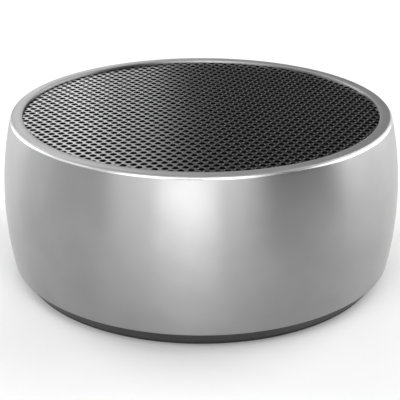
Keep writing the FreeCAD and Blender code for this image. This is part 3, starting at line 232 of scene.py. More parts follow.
def bright_metal(name, dark, light, roughness, depth=0.004 * MM, stretch=(1, 1, 1)):
    """Plated, rolled or drawn metal: small bright highlights. An uneven stretch draws its grain out
    into the lines of its making."""
    material, shader = new_material(name, Metallic=1.0)
    mottle(material, shader, dark, light, 4 * MM)
    grain(material, shader, 0.2 * MM, depth, roughness, 0.05, stretch=stretch)
    return material


def fibrous(name, dark, light, roughness, grain_size, depth):
    """Pressed fibre, paper or treated cloth: uneven and matt, with a soft edge sheen."""
    material, shader = new_material(name, IOR=1.45, Sheen_Weight=0.15)
    mottle(material, shader, dark, light, 1.2 * MM)
    grain(material, shader, grain_size, depth, roughness, 0.04, detail=6.0)
    return material


def frosted_light_pipe():
    """Frosted polycarbonate: milky, and it lets the lamp behind it through."""
    depth = 0.6 * MM
    material, shader = new_material("Frosted polycarbonate", IOR=1.585, Subsurface_Weight=0.4,
                                    Subsurface_Radius=(depth, depth, depth))
    mottle(material, shader, "#C9CFD2", "#D7DCDE", 2 * MM)
    grain(material, shader, 0.15 * MM, 0.004 * MM, 0.42, 0.05)
    return material


# The record's material slots: how each is made, its name, its two shades, its roughness, and where they
# differ from the usual the size and depth of its grain, or the depth and the stretch of its lines
FINISHES = {
    "anodised_shell": (blasted_aluminium,),
    "grille_steel": (lacquered_grille,),
    "dust_cloth": (dust_cloth,),
    "baffle_plastic": (moulded_plastic, "Moulded ABS, matt", "#141415", "#18181A", 0.62),
    "base_plastic": (moulded_plastic, "Moulded ABS, fine texture", "#1E1E20", "#232325", 0.5),
    "foot_rubber": (moulded_rubber, "Moulded silicone rubber", "#202021", "#28282A"),
    "screw_steel": (bright_metal, "Black zinc plated steel", "#4A4B4E", "#56575A", 0.35),
    "frame_steel": (moulded_plastic, "Pressed steel, black powder coat", "#1C1C1D", "#222223", 0.45),
    "motor_steel": (bright_metal, "Zinc plated steel", "#B4B6B8", "#C2C3C2", 0.3, 0.004 * MM, (1, 12, 1)),
    "ferrite": (moulded_plastic, "Ground ferrite", "#2C2C2E", "#363638", 0.55, 0.5 * MM, 0.02 * MM),
    "cone_paper": (fibrous, "Coated paper pulp", "#2A2A2B", "#343434", 0.8, 0.5 * MM, 0.04 * MM),
    "surround_rubber": (moulded_rubber, "Butyl rubber", "#1A1A1B", "#202021"),
    "former_aluminium": (bright_metal, "Rolled aluminium foil", "#C4C5C7", "#D0D1D2", 0.28),
    "copper_winding": (bright_metal, "Enamelled copper wire", "#B0643A", "#BF7448", 0.3,
                       0.004 * MM, (1, 1, 14)),
    "spider_cloth": (fibrous, "Resin-treated cotton cloth", "#B78A3C", "#C69A4A", 0.75,
                     0.4 * MM, 0.05 * MM),
    "clamp_fibre": (fibrous, "Pressed fibreboard", "#242425", "#2C2C2D", 0.8, 0.4 * MM, 0.03 * MM),
    "strip_laminate": (fibrous, "Phenolic paper laminate", "#7A5230", "#8A5F3A", 0.5,
                       0.4 * MM, 0.01 * MM),
    "tag_tin": (bright_metal, "Tinned brass", "#C8C6BE", "#D4D2CA", 0.32),
    "cell_pouch": (bright_metal, "Laminated pouch foil", "#B9BBBE", "#C6C7C9", 0.38, 0.02 * MM),
    "pad_foam": (fibrous, "Adhesive foam", "#2A2A2B", "#363637", 0.9, 0.3 * MM, 0.08 * MM),
    "board_laminate": (moulded_plastic, "Solder mask on glass laminate", "#12482A", "#175232", 0.35),
    "component_black": (moulded_plastic, "Moulded epoxy", "#1B1B1C", "#222223", 0.55),
    "shield_tin": (bright_metal, "Tinned steel", "#C2C3C4", "#CDCECE", 0.3),
    "capacitor_can": (bright_metal, "Aluminium can", "#B8BABD", "#C5C6C8", 0.28),
    "header_white": (moulded_plastic, "Moulded nylon", "#E4E0D2", "#EAE6DA", 0.5),
    "wire_black": (moulded_rubber, "Black wire insulation", "#161617", "#1B1B1C"),
    "wire_red": (moulded_rubber, "Red wire insulation", "#A51B1B", "#B02222"),
    "panel_plastic": (moulded_plastic, "Moulded ABS, panel texture", "#1C1C1E", "#212123", 0.46),
    "button_plastic": (moulded_plastic, "Moulded ABS, satin", "#29292B", "#2E2E30", 0.38,
                       0.3 * MM, 0.005 * MM),
    "switch_body": (moulded_plastic, "Moulded nylon, black", "#1C1C1D", "#232324", 0.55),
    "plunger_acetal": (moulded_plastic, "Moulded acetal", "#C9C5B9", "#D2CEC3", 0.4),
    "light_pipe": (frosted_light_pipe,),
    "lamp_white": (moulded_plastic, "Moulded lamp resin", "#E8E4C8", "#EFEBD2", 0.35),
    "socket_steel": (bright_metal, "Nickel plated steel", "#BDBBB5", "#CAC8C2", 0.25),
}
made_materials = {}


def finish_for(slot):
    """The material for a slot of the record, made when it is first asked for."""
    if slot not in made_materials:
        make, *details = FINISHES[slot]
        made_materials[slot] = make(*details)
    return made_materials[slot]


# ---------------------------------------------------------------- sizes a user would change

class SpeakerSizes(bpy.types.PropertyGroup):
    """Sizes of the modelled pieces."""
    belly_radius: FloatProperty(
        name="Belly radius", description="Radius at the widest place", default=45 * MM, unit="LENGTH")
    belly_height: FloatProperty(
        name="Belly height", description="Height of the widest place", default=18.5 * MM, unit="LENGTH")
    barrel_radius: FloatProperty(
        name="Barrel radius", description="Radius of the arc that the side follows",
        default=79 * MM, unit="LENGTH")
    body_height: FloatProperty(
        name="Height", description="Surface to the top of the rim", default=cad_high.z, unit="LENGTH")
    wall: FloatProperty(
        name="Wall", description="Thickness of the shell", default=1.5 * MM, unit="LENGTH")
    hole_pitch: FloatProperty(
        name="Hole pitch", description="Distance between holes in a row, and between rows",
        default=1.85 * MM, unit="LENGTH")
    hole_radius: FloatProperty(
        name="Hole radius", description="Radius of a hole in the grille", default=0.73 * MM, unit="LENGTH")
    row_angle: FloatProperty(
        name="Row angle", description="Turn of the rows of holes from the left-right line",
        default=math.radians(-53), subtype="ANGLE", unit="ROTATION")
    segments: IntProperty(
        name="Segments", description="Sides of a full circle round the speaker's axis", default=256)


class SpeakerStage(bpy.types.PropertyGroup):
    """The lights of the room round the speaker."""
    room_colour: FloatVectorProperty(
        name="Room colour", description="Colour of the light from all round",
        subtype="COLOR", size=4, default=linear("#F4F4F4"))
    room_light: FloatProperty(
        name="Room light", description="Strength of the light from all round", default=0.1)
    light_strength: FloatProperty(
        name="Light", description="Strength of the soft lights", default=1.0)


def sizes():
    """The sizes that the panel shows."""
    return bpy.context.scene.speaker_sizes


def barrel(height, inset=0.0):
    """Radius of the barrel at a height, or of its arc set in."""
    s = sizes()
    return s.belly_radius - s.barrel_radius + math.sqrt(
        (s.barrel_radius - inset) ** 2 - (height - s.belly_height) ** 2)


def barrel_points(low, high, inset=0.0, steps=24):
    """Points of an outline that follow the barrel from one height to another."""
    heights = [low + (high - low) * i / steps for i in range(steps + 1)]
    return [(barrel(height, inset), height) for height in heights]


def rounded(corner, before, after, radius, steps=4):
    """Points of an arc that rounds a corner of an outline, tangent to both its sides."""
    corner, before, after = Vector(corner), Vector(before), Vector(after)
    to_before, to_after = (before - corner).normalized(), (after - corner).normalized()
    half = to_before.angle(to_after) / 2
    reach = radius / math.tan(half)
    centre = corner + (to_before + to_after).normalized() * (radius / math.sin(half))
    first, last = corner + to_before * reach - centre, corner + to_after * reach - centre
    sweep = first.angle(last)
    points = []
    for i in range(steps + 1):
        blend = i / steps
        spoke = (first * math.sin((1 - blend) * sweep) + last * math.sin(blend * sweep)) / math.sin(sweep)
        points.append(tuple(centre + spoke))
    return points


# ---------------------------------------------------------------- places shared by several pieces

LIP_BOTTOM_DROP = 0.6 * MM  # from the rim's top down to the grille
GRILLE_THICKNESS = 0.8 * MM
INSIDE_GAP = 0.15 * MM  # between the shell and the grille or the base's spigot inside it
SEAT = 3.3 * MM  # height at which the shell rests on the base
BOARD_TOP = 10.0 * MM
CONTROLS = 12.4 * MM  # height of the row of controls
PANEL_HALF_HEIGHT = 5.0 * MM
PANEL_FLANGE = 1.3 * MM
PANEL_SET_BACK = 0.5 * MM
PANEL_GAP = 0.1 * MM  # between the panel and what fits in or against it
BUTTONS = ("volume_down", "play", "volume_up")
BUTTON_RADIUS = 3.0 * MM
BUTTON_LIP = 0.5 * MM
BUTTON_LIP_THICKNESS = 0.8 * MM
BUTTON_TRAVEL = 0.6 * MM
LAMP_RISE = 1.9 * MM  # the light pipe stands this far above the row, the microphone's hole as far below
TOOL_START, TOOL_LENGTH = 20 * MM, 40 * MM  # a tool that cuts through the back


def base_radii():
    """Radii of the base's rim, of the edge of its underside, and of the foot's outside and inside."""
    rim = barrel(SEAT) - 0.55 * MM
    edge = rim - 1.45 * MM
    foot_outer = edge - 0.5 * MM
    return rim, edge, foot_outer, foot_outer - 4 * MM


def spigot_radius():
    """Radius of the base's spigot, which stands inside the shell."""
    return barrel(SEAT, sizes().wall) - INSIDE_GAP


def case_screw_places():
    """Places of the four case screws, inside the spigot."""
    circle, angle = spigot_radius() - 7.8 * MM, math.radians(40)
    x, y = circle * math.cos(angle), circle * math.sin(angle)
    return (x, y), (-x, y), (-x, -y), (x, -y)


def panel_inner():
    """Radius of the control panel's inner face."""
    return barrel(CONTROLS - PANEL_HALF_HEIGHT - PANEL_FLANGE, sizes().wall) - 1.2 * MM


def places():
    """Turn about the axis of each control, from the middle of the back and towards -X."""
    radius = sizes().belly_radius
    pitch = (2 * (BUTTON_RADIUS + BUTTON_LIP) + 0.8 * MM) * radius / (panel_inner() - PANEL_GAP)
    play = -6.1 * MM
    light = play + pitch + 5.8 * MM
    offsets = {"volume_down": play - pitch, "play": play, "volume_up": play + pitch,
               "switch": play - pitch - 9.9 * MM, "light": light, "aux": light + 6.1 * MM,
               "usb": light + 16.4 * MM}
    return {name: -offset / radius for name, offset in offsets.items()}


def panel_half_length():
    """Half the length of the window and of the panel in it, from the middle of the back."""
    turn = places()["usb"]
    face = barrel(CONTROLS) - PANEL_SET_BACK
    return -face * math.sin(turn) + 4.5 * MM * math.cos(turn) + 1.6 * MM


# ---------------------------------------------------------------- ways of modelling

def object_mode():
    """Leaves edit mode."""
    if bpy.context.object and bpy.context.object.mode != "OBJECT":
        bpy.ops.object.mode_set(mode="OBJECT")


def only(piece):
    """Makes a piece the only selected and the active object."""
    object_mode()
    bpy.ops.object.select_all(action="DESELECT")
    piece.select_set(True)
    bpy.context.view_layer.objects.active = piece
    return piece


def settle(piece):
    """Puts a piece's place, turn and scale into its mesh."""
    only(piece)
    bpy.ops.object.transform_apply(location=True, rotation=True, scale=True)
    return piece


def tidy_mesh(piece, gap=0.5e-6):
    """Welds doubled points and turns every face outwards."""
    only(piece)
    bpy.ops.object.mode_set(mode="EDIT")
    bpy.ops.mesh.select_all(action="SELECT")
    bpy.ops.mesh.remove_doubles(threshold=gap)
    bpy.ops.mesh.normals_make_consistent(inside=False)
    bpy.ops.object.mode_set(mode="OBJECT")
    return piece


def turned(name, outline, segments=None, caps=False):
    """A piece turned about the Z axis: a circle that is extruded and resized along an outline of
    (radius, height) points. Its last point joins its first, or with caps both ends are filled."""
    object_mode()
    bpy.ops.object.select_all(action="DESELECT")
    radius, height = outline[0]
    bpy.ops.mesh.primitive_circle_add(vertices=segments or sizes().segments, radius=radius,
                                      fill_type="NGON" if caps else "NOTHING", location=(0, 0, height))
    piece = bpy.context.object
    piece.name = piece.data.name = name
    settle(piece)
    bpy.ops.object.mode_set(mode="EDIT")
    bpy.ops.mesh.select_all(action="SELECT")
    path = outline if caps else outline + outline[:1]
    for (r0, z0), (r1, z1) in zip(path, path[1:]):
        bpy.ops.mesh.extrude_edges_move(TRANSFORM_OT_translate={"value": (0, 0, z1 - z0)})
        bpy.ops.transform.resize(value=(r1 / r0, r1 / r0, 1), center_override=(0, 0, 0))
    if caps:
        bpy.ops.mesh.edge_face_add()
    return tidy_mesh(piece)


def block(name, wide, deep, high, x=0.0, y=0.0, z=0.0):
    """A box centred on x, from y and z upwards, as a start for further shaping."""
    object_mode()
    bpy.ops.object.select_all(action="DESELECT")
    bpy.ops.mesh.primitive_cube_add(size=1, location=(x, y + deep / 2, z + high / 2),
                                    scale=(wide, deep, high))
    piece = bpy.context.object
    piece.name = piece.data.name = name
    return settle(piece)


def rod(name, radius, start, length, along="z", sides=64):
    """A round bar from a start point, upwards or, with along="y", backwards."""
    object_mode()
    bpy.ops.object.select_all(action="DESELECT")
    middle = Vector(start) + (Vector((0, length / 2, 0)) if along == "y" else Vector((0, 0, length / 2)))
    bpy.ops.mesh.primitive_cylinder_add(vertices=sides, radius=radius, depth=length, location=middle,
                                        rotation=(math.pi / 2 if along == "y" else 0, 0, 0))
    piece = bpy.context.object
    piece.name = piece.data.name = name
    return settle(piece)


def tool(name, radius, height=CONTROLS, sides=64):
    """A round bar that reaches out through the back."""
    return rod(name, radius, (0, TOOL_START, height), TOOL_LENGTH, "y", sides)


def stadium(name, half_length, half_height, y=TOOL_START, deep=TOOL_LENGTH):
    """A bar along Y with full-round ends, level with the controls: a round bar whose two halves are
    moved apart."""
    piece = rod(name, half_height, (0, y, CONTROLS), deep, "y", 96)
    for sign in (-1, 1):
        only(piece)
        bpy.ops.object.mode_set(mode="EDIT")
        bpy.ops.mesh.select_mode(type="VERT")
        bpy.ops.mesh.select_all(action="DESELECT")
        bpy.ops.object.mode_set(mode="OBJECT")
        for vertex in piece.data.vertices:
            vertex.select = vertex.co.x * sign > 1e-6
        bpy.ops.object.mode_set(mode="EDIT")
        bpy.ops.transform.translate(value=(sign * (half_length - half_height), 0, 0))
        bpy.ops.object.mode_set(mode="OBJECT")
    return piece


def combine(piece, others, operation):
    """Cuts, joins or intersects a piece with others, which are used up."""
    for other in others:
        modifier = piece.modifiers.new(operation.title(), "BOOLEAN")
        modifier.operation = operation
        modifier.solver = "MANIFOLD"
        modifier.object = other
        only(piece)
        bpy.ops.object.modifier_apply(modifier=modifier.name)
        bpy.data.objects.remove(other, do_unlink=True)
        if not piece.data.polygons:
            raise RuntimeError(f"{piece.name}: nothing is left after {operation.lower()}")
    return piece


def round_edges(piece, width, steps=2, angle=35):
    """Rounds every edge sharper than an angle."""
    modifier = piece.modifiers.new("Rounding", "BEVEL")
    modifier.width = width
    modifier.segments = steps
    modifier.limit_method = "ANGLE"
    modifier.angle_limit = math.radians(angle)
    modifier.use_clamp_overlap = True
    modifier.harden_normals = False
    only(piece)
    bpy.ops.object.modifier_apply(modifier=modifier.name)
    return piece


def face_back(piece, turn):
    """Turns a piece made at the middle of the back to its place round the axis."""
    piece.rotation_euler.z = turn
    return settle(piece)


def copy_of(piece, name):
    """A copy with its own mesh."""
    only(piece)
    bpy.ops.object.duplicate(linked=False)
    made = bpy.context.object
    made.name = made.data.name = name
    return made


def join(name, pieces):
    """Several loose pieces as one object."""
    only(pieces[0])
    for piece in pieces[1:]:
        piece.select_set(True)
    bpy.ops.object.join()
    made = bpy.context.object
    made.name = made.data.name = name
    return made


SLOTS = {entry["node"]: entry["material_slot"] for entry in frame["record"]["subparts"]}
BODIES = {node: body for body, nodes in frame["record"]["behaviour"]["bodies"].items() for node in nodes}


def stand_in(piece, node, smooth=30):
    """Gives a finished piece its smoothing and its material, and puts it in the place of a CAD node."""
    only(piece)
    bpy.ops.object.shade_smooth_by_angle(angle=math.radians(smooth))
    piece.data.materials.clear()
    piece.data.materials.append(finish_for(SLOTS[node]))
    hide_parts(node)
    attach(piece, BODIES[node])


def band(name, inner, set_back, half_height, steps=10):
    """A ring whose outside follows the barrel, set back, over a height either side of the controls."""
    low, high = CONTROLS - half_height, CONTROLS + half_height
    return turned(name, [(inner, low), *barrel_points(low, high, set_back, steps), (inner, high)])


# ---------------------------------------------------------------- operators

class SPEAKER_OT_shell(bpy.types.Operator):
    """Spun aluminium barrel with its bevelled rim, rolled lower hem and the window for the controls"""
    bl_idname = "speaker.shell"
    bl_label = "Shell"

    def execute(self, context):
        s = sizes()
        top, under = s.body_height, s.body_height - LIP_BOTTOM_DROP
        rim_foot = barrel(under)
        lip_inner = rim_foot - 2.8 * MM
        soft = 0.12 * MM
        hem, hem_steps = 0.4 * MM, 6
        hem_top = SEAT + hem
        flat = (rim_foot - 1.2 * MM, top)
        bevel_top = (rim_foot - 0.5 * MM, top)
        cut_edge = (rim_foot - 0.25 * MM, (top + under) / 2)
        outline = [
            (lip_inner, top - soft),
            (lip_inner + soft / 3, top - soft / 3),
            (lip_inner + soft, top),
            flat,
            *rounded(bevel_top, flat, (rim_foot, under), 0.35 * MM),
            cut_edge,
            *rounded((rim_foot, under), bevel_top, (barrel(under - MM), under - MM), 0.5 * MM),
            *reversed(barrel_points(hem_top, under - 0.6 * MM)),
        ]
        hem_centre = barrel(hem_top) - hem
        for i in range(1, hem_steps + 1):
            turn = i / hem_steps * math.pi / 2
            outline.append((hem_centre + hem * math.cos(turn), hem_top - hem * math.sin(turn)))
        outline += [
            (barrel(SEAT, s.wall) + 0.1 * MM, SEAT),
            *barrel_points(SEAT + 0.1 * MM, under, s.wall, 16),
            (lip_inner, under),
        ]
        shell = turned("outer_shell", outline)
        combine(shell, [stadium("window", panel_half_length(), PANEL_HALF_HEIGHT)], "DIFFERENCE")
        stand_in(shell, "outer_shell")
        shell.data.materials.append(faced_rim())
        shell.data.materials.append(cut_bevel())
        for face in shell.data.polygons:
            if face.center.z > under - 0.2 * MM and face.normal.z > 0.3:
                face.material_index = 2 if face.center.z < cut_edge[1] else 1
        return {"FINISHED"}


class SPEAKER_OT_grille(bpy.types.Operator):
    """Punched sheet: one cell round one hole, repeated in two staggered blocks and trimmed to a disc"""
    bl_idname = "speaker.grille"
    bl_label = "Grille"

    def cell(self, x, y, top):
        """One hole with its softened edge, out to the square that it shares with its neighbours."""
        s = sizes()
        hole, half_pitch, edge = s.hole_radius, s.hole_pitch / 2, 0.07 * MM
        centre, under = (x, y, top), top - GRILLE_THICKNESS
        object_mode()
        bpy.ops.object.select_all(action="DESELECT")
        bpy.ops.mesh.primitive_circle_add(vertices=12, radius=hole, location=(x, y, under))
        cell = settle(bpy.context.object)
        bpy.ops.object.mode_set(mode="EDIT")
        bpy.ops.mesh.select_mode(type="VERT")
        bpy.ops.mesh.select_all(action="SELECT")
        steps = ((GRILLE_THICKNESS - edge, 1.0), (edge, (hole + edge) / hole),
                 (0.0, half_pitch / (hole + edge)))
        for rise, grow in steps:
            bpy.ops.mesh.extrude_edges_move(TRANSFORM_OT_translate={"value": (0, 0, rise)})
            bpy.ops.transform.resize(value=(grow, grow, 1), center_override=centre)
        self.select(cell, lambda point: abs(point.z - under) < 1e-7)
        grow = half_pitch / hole
        bpy.ops.mesh.extrude_edges_move(TRANSFORM_OT_translate={"value": (0, 0, 0)})
        bpy.ops.transform.resize(value=(grow, grow, 1), center_override=centre)
        grow = 1 / math.cos(math.pi / 6)
        self.square(cell, centre, True, (2.0, grow, 1))
        self.square(cell, centre, False, (grow, 1.0, 1))
        object_mode()
        return cell

    def square(self, cell, centre, steep, grow):
        """Moves points of the outermost circle out to the square round it: the steep ones, nearer to the
        Y axis than to the X axis, to its corners, or the others to its sides."""
        half_pitch = sizes().hole_pitch / 2

        def wanted(point):
            x, y = abs(point.x - centre[0]), abs(point.y - centre[1])
            return abs(math.hypot(x, y) - half_pitch) < 1e-6 and min(x, y) > 1e-6 and (y > x) == steep

        self.select(cell, wanted)
        bpy.ops.transform.resize(value=grow, center_override=centre)

    def select(self, cell, wanted):
        """Selects a cell's points for which the test holds, and goes into edit mode."""
        object_mode()
        for group in (cell.data.vertices, cell.data.edges, cell.data.polygons):
            group.foreach_set("select", [False] * len(group))
        for vertex in cell.data.vertices:
            vertex.select = wanted(vertex.co)
        bpy.ops.object.mode_set(mode="EDIT")
        bpy.ops.mesh.select_mode(type="VERT")

    def repeat(self, cell, across, along):
        """Repeats a cell in two directions, each given as a count and a step."""
        for count, step in (across, along):
            modifier = cell.modifiers.new("Rows", "ARRAY")
            modifier.count = count
            modifier.use_relative_offset = False
            modifier.use_constant_offset = True
            modifier.constant_offset_displace = step
            only(cell)
            bpy.ops.object.modifier_apply(modifier=modifier.name)
        return cell

    def execute(self, context):
        s = sizes()
        top, pitch = s.body_height - LIP_BOTTOM_DROP, s.hole_pitch
        radius = barrel(top, s.wall) - INSIDE_GAP
        reach = math.ceil(radius / pitch) + 1
        rows = math.ceil(radius / pitch / 2) + 1
        across, along = (pitch, 0, 0), (0, 2 * pitch, 0)
        even = self.repeat(self.cell(-reach * pitch, -2 * rows * pitch, top),
                           (2 * reach + 1, across), (2 * rows + 1, along))
        odd = self.repeat(self.cell(-(reach - 0.5) * pitch, -(2 * rows - 1) * pitch, top),
                          (2 * reach, across), (2 * rows, along))
        sheet = tidy_mesh(join("grille", [even, odd]), gap=5e-6)
        bpy.ops.object.mode_set(mode="EDIT")
        bpy.ops.mesh.select_mode(type="EDGE")
        bpy.ops.mesh.select_all(action="DESELECT")
        bpy.ops.mesh.select_non_manifold(
            extend=False, use_wire=False, use_boundary=True, use_multi_face=False,
            use_non_contiguous=False, use_verts=False)
        bpy.ops.mesh.bridge_edge_loops()
        object_mode()
        tidy_mesh(sheet)
        sheet.rotation_euler.z = s.row_angle
        settle(sheet)
        disc = rod("disc", radius, (0, 0, top - 2 * GRILLE_THICKNESS), 3 * GRILLE_THICKNESS,
                   sides=s.segments)
        combine(sheet, [disc], "INTERSECT")
        stand_in(sheet, "grille", smooth=40)
        sheet.data.materials.append(hole_walls_painted_shade())
        # The hole walls and the underside get a darker, matt copy of the black coat: painted shade in the
        # holes.
        for face in sheet.data.polygons:
            if face.normal.z < 0.5:
                face.material_index = 1
        return {"FINISHED"}


class SPEAKER_OT_cloth(bpy.types.Operator):
    """Dust cloth stretched on its step just below the grille"""
    bl_idname = "speaker.cloth"
    bl_label = "Dust cloth"

    def execute(self, context):
        low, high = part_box("grille_cloth")
        radius = (high.x - low.x) / 2
        soft = 0.08 * MM
        outline = [(radius - soft, low.z), (radius, low.z + soft),
                   (radius, high.z - soft), (radius - soft, high.z)]
        cloth = turned("grille_cloth", outline, segments=192, caps=True)
        stand_in(cloth, "grille_cloth", smooth=60)
        return {"FINISHED"}


class SPEAKER_OT_base(bpy.types.Operator):
    """Black moulded base with its tapered rim, its screw wells and the posts for the board"""
    bl_idname = "speaker.base"
    bl_label = "Base"

    def execute(self, context):
        proud, groove = 0.8 * MM, 1.6 * MM
        rim, edge, foot_outer, foot_inner = base_radii()
        spigot, spigot_top, chamfer = spigot_radius(), SEAT + 2.3 * MM, 0.2 * MM
        slope = 0.25 * MM
        outline = [
            (foot_inner, proud), (foot_inner, groove), (foot_outer, groove), (foot_outer, proud),
            *rounded((edge, proud), (foot_outer, proud), (rim, SEAT - slope), 0.15 * MM),
            *rounded((rim, SEAT - slope), (edge, proud), (rim - slope, SEAT), 0.12 * MM),
            (rim - slope, SEAT), (spigot, SEAT), (spigot, spigot_top - chamfer),
            (spigot - chamfer, spigot_top), (spigot - 2 * MM, spigot_top), (spigot - 2 * MM, SEAT),
        ]
        base = turned("base_plate", outline, caps=True)
        wells = []
        for x, y in case_screw_places():
            wells.append(rod("well", 2.4 * MM, (x, y, -MM), 3.4 * MM))
            wells.append(rod("hole", 1.25 * MM, (x, y, MM), 5 * MM))
        foot_of_post, post_height = 3 * MM, 5.4 * MM
        board_edge = panel_inner() - PANEL_GAP - BUTTON_LIP_THICKNESS - BUTTON_TRAVEL - 0.3 * MM
        post_circle, post_turn = board_edge - 13.5 * MM, math.radians(38.5)
        posts = []
        for sign in (-1, 1):
            x, y = sign * post_circle * math.sin(post_turn), post_circle * math.cos(post_turn)
            posts.append(rod("post", 2.5 * MM, (x, y, foot_of_post), post_height))
            wells.append(rod("pilot", 0.8 * MM, (x, y, 4.4 * MM), 5 * MM, sides=32))
        posts.append(rod("rest", 1.8 * MM, (0, 23.8 * MM, foot_of_post), post_height))
        combine(base, posts, "UNION")
        combine(base, wells, "DIFFERENCE")
        stand_in(base, "base_plate")
        return {"FINISHED"}


class SPEAKER_OT_foot(bpy.types.Operator):
    """Rubber ring let into the base, with two shallow grip grooves in its tread"""
    bl_idname = "speaker.foot"
    bl_label = "Foot ring"

    def execute(self, context):
        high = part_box("foot_ring")[1]
        _, _, outer, inner = base_radii()
        soft, groove_depth = 0.25 * MM, 0.2 * MM
        mouth, bottom = 0.35 * MM, 0.2 * MM
        outline = [(inner, high.z), (inner, soft),
                   *rounded((inner, 0), (inner, soft * 2), (inner + soft * 2, 0), soft)]
        for middle in (inner + 1.4 * MM, outer - 1.4 * MM):
            outline += [(middle - mouth, 0), (middle - bottom, groove_depth),
                        (middle + bottom, groove_depth), (middle + mouth, 0)]
        outline += [*rounded((outer, 0), (outer - soft * 2, 0), (outer, soft * 2), soft), (outer, high.z)]
        foot = turned("foot_ring", outline)
        stand_in(foot, "foot_ring")
        return {"FINISHED"}


class SPEAKER_OT_screws(bpy.types.Operator):
    """Four pan-head screws with a cross recess, seen in the wells of the base"""
    bl_idname = "speaker.screws"
    bl_label = "Case screws"

    def execute(self, context):
        face, seat, tip = 1.0 * MM, 2.4 * MM, 11.4 * MM
        head, shank = 2.1 * MM, 1.0 * MM
        outline = [
            (0.3 * MM, face), *rounded((head, face), (0, face), (head, seat), 0.5 * MM, 5),
            (head, seat), (shank, seat), (shank, tip - 0.8 * MM), (0.45 * MM, tip)]
        screw = turned("case_screw", outline, segments=48, caps=True)
        length, width, deep, low = 2.4 * MM, 0.5 * MM, 1.6 * MM, 0.2 * MM
        slots = [block("slot", length, width, deep, y=-width / 2, z=low),
                 block("slot", width, length, deep, y=-length / 2, z=low)]
        combine(screw, slots, "DIFFERENCE")
        copies = []
        for x, y in case_screw_places():
            one = copy_of(screw, "case_screw_copy")
            one.location = (x, y, 0)
            copies.append(settle(one))
        bpy.data.objects.remove(screw, do_unlink=True)
        stand_in(join("case_screws", copies), "case_screws")
        return {"FINISHED"}


class SPEAKER_OT_panel(bpy.types.Operator):
    """Moulded control panel that fills the window and follows the barrel"""
    bl_idname = "speaker.panel"
    bl_label = "Control panel"

    def execute(self, context):
        inner, turns = panel_inner(), places()
        half_length, half_height = panel_half_length(), PANEL_HALF_HEIGHT
        panel = band("control_panel", inner, PANEL_SET_BACK, half_height + PANEL_FLANGE)
        combine(panel, [stadium("face", half_length - PANEL_GAP, half_height - PANEL_GAP)], "INTERSECT")
        flange = band("flange", inner, sizes().wall + PANEL_GAP, half_height + PANEL_FLANGE)
        combine(flange, [stadium("flange_outline", half_length + PANEL_FLANGE,
                                 half_height + PANEL_FLANGE - 1e-6)], "INTERSECT")
        combine(panel, [flange], "UNION")
        slot_length, slot_height = 5.7 * MM, 2.9 * MM
        openings = [(name, tool("hole", BUTTON_RADIUS + PANEL_GAP)) for name in BUTTONS]
        openings += [
            ("switch", block("slot", slot_length, TOOL_LENGTH, slot_height, y=TOOL_START,
                             z=CONTROLS - slot_height / 2)),
            ("usb", stadium("usb", 4.65 * MM, 1.75 * MM)),
            ("aux", tool("aux", 2.95 * MM)),
            ("light", tool("light", 0.98 * MM, CONTROLS + LAMP_RISE, 48)),
            ("light", tool("microphone", 0.45 * MM, CONTROLS - LAMP_RISE, 32)),
        ]
        combine(panel, [face_back(opening, turns[name]) for name, opening in openings], "DIFFERENCE")
        stand_in(panel, "control_panel")
        return {"FINISHED"}


class SPEAKER_OT_buttons(bpy.types.Operator):
    """Three round buttons whose faces follow the barrel, each with a lip behind the panel and a stem"""
    bl_idname = "speaker.buttons"
    bl_label = "Buttons"

    def execute(self, context):
        lip_outer = panel_inner() - PANEL_GAP
        lip_inner = lip_outer - BUTTON_LIP_THICKNESS
        low, high = CONTROLS - 4 * MM, CONTROLS + 4 * MM
        for name in BUTTONS:
            crown = band(f"{name}_button", lip_inner, 0.05 * MM, BUTTON_RADIUS + 0.5 * MM)
            combine(crown, [tool("round", BUTTON_RADIUS)], "INTERSECT")
            round_edges(crown, 0.25 * MM, 3)
            lip = turned("lip", [(lip_inner, low), (lip_outer, low), (lip_outer, high), (lip_inner, high)])
            combine(lip, [tool("lip_round", BUTTON_RADIUS + BUTTON_LIP)], "INTERSECT")
            stem = rod("stem", 1.4 * MM, (0, lip_inner - 1.6 * MM, CONTROLS), 2.4 * MM, "y", 48)
            combine(crown, [lip, stem], "UNION")
            face_back(crown, places()[name])
            stand_in(crown, f"{name}_button")
        return {"FINISHED"}


class SPEAKER_OT_switch(bpy.types.Operator):
    """Cap of the power switch, at the off end of its slot, with three grip grooves across its face"""
    bl_idname = "speaker.switch"
    bl_label = "Power switch"

    def execute(self, context):
        lip_deep, lip_high = 0.7 * MM, 4 * MM
        inner = panel_inner() - 0.65 * MM - lip_deep
        tip = barrel(CONTROLS) - PANEL_SET_BACK + 0.5 * MM
        high, off = 2.6 * MM, -MM
        cap = block("power_switch_cap", 3.4 * MM, tip - inner, high, x=off, y=inner,
                    z=CONTROLS - high / 2)
        round_edges(cap, 0.18 * MM, 2)
        grooves = []
        for shift in (-0.8 * MM, 0.0, 0.8 * MM):
            grooves.append(block("groove", 0.35 * MM, MM, 4 * MM, x=off + shift, y=tip - 0.22 * MM,
                                 z=CONTROLS - 2 * MM))
        combine(cap, grooves, "DIFFERENCE")
        lip = block("lip", 6.6 * MM, lip_deep, lip_high, x=off, y=inner - 1e-6, z=CONTROLS - lip_high / 2)
        combine(cap, [lip], "UNION")
        face_back(cap, places()["switch"])
        stand_in(cap, "power_switch_cap")
        return {"FINISHED"}


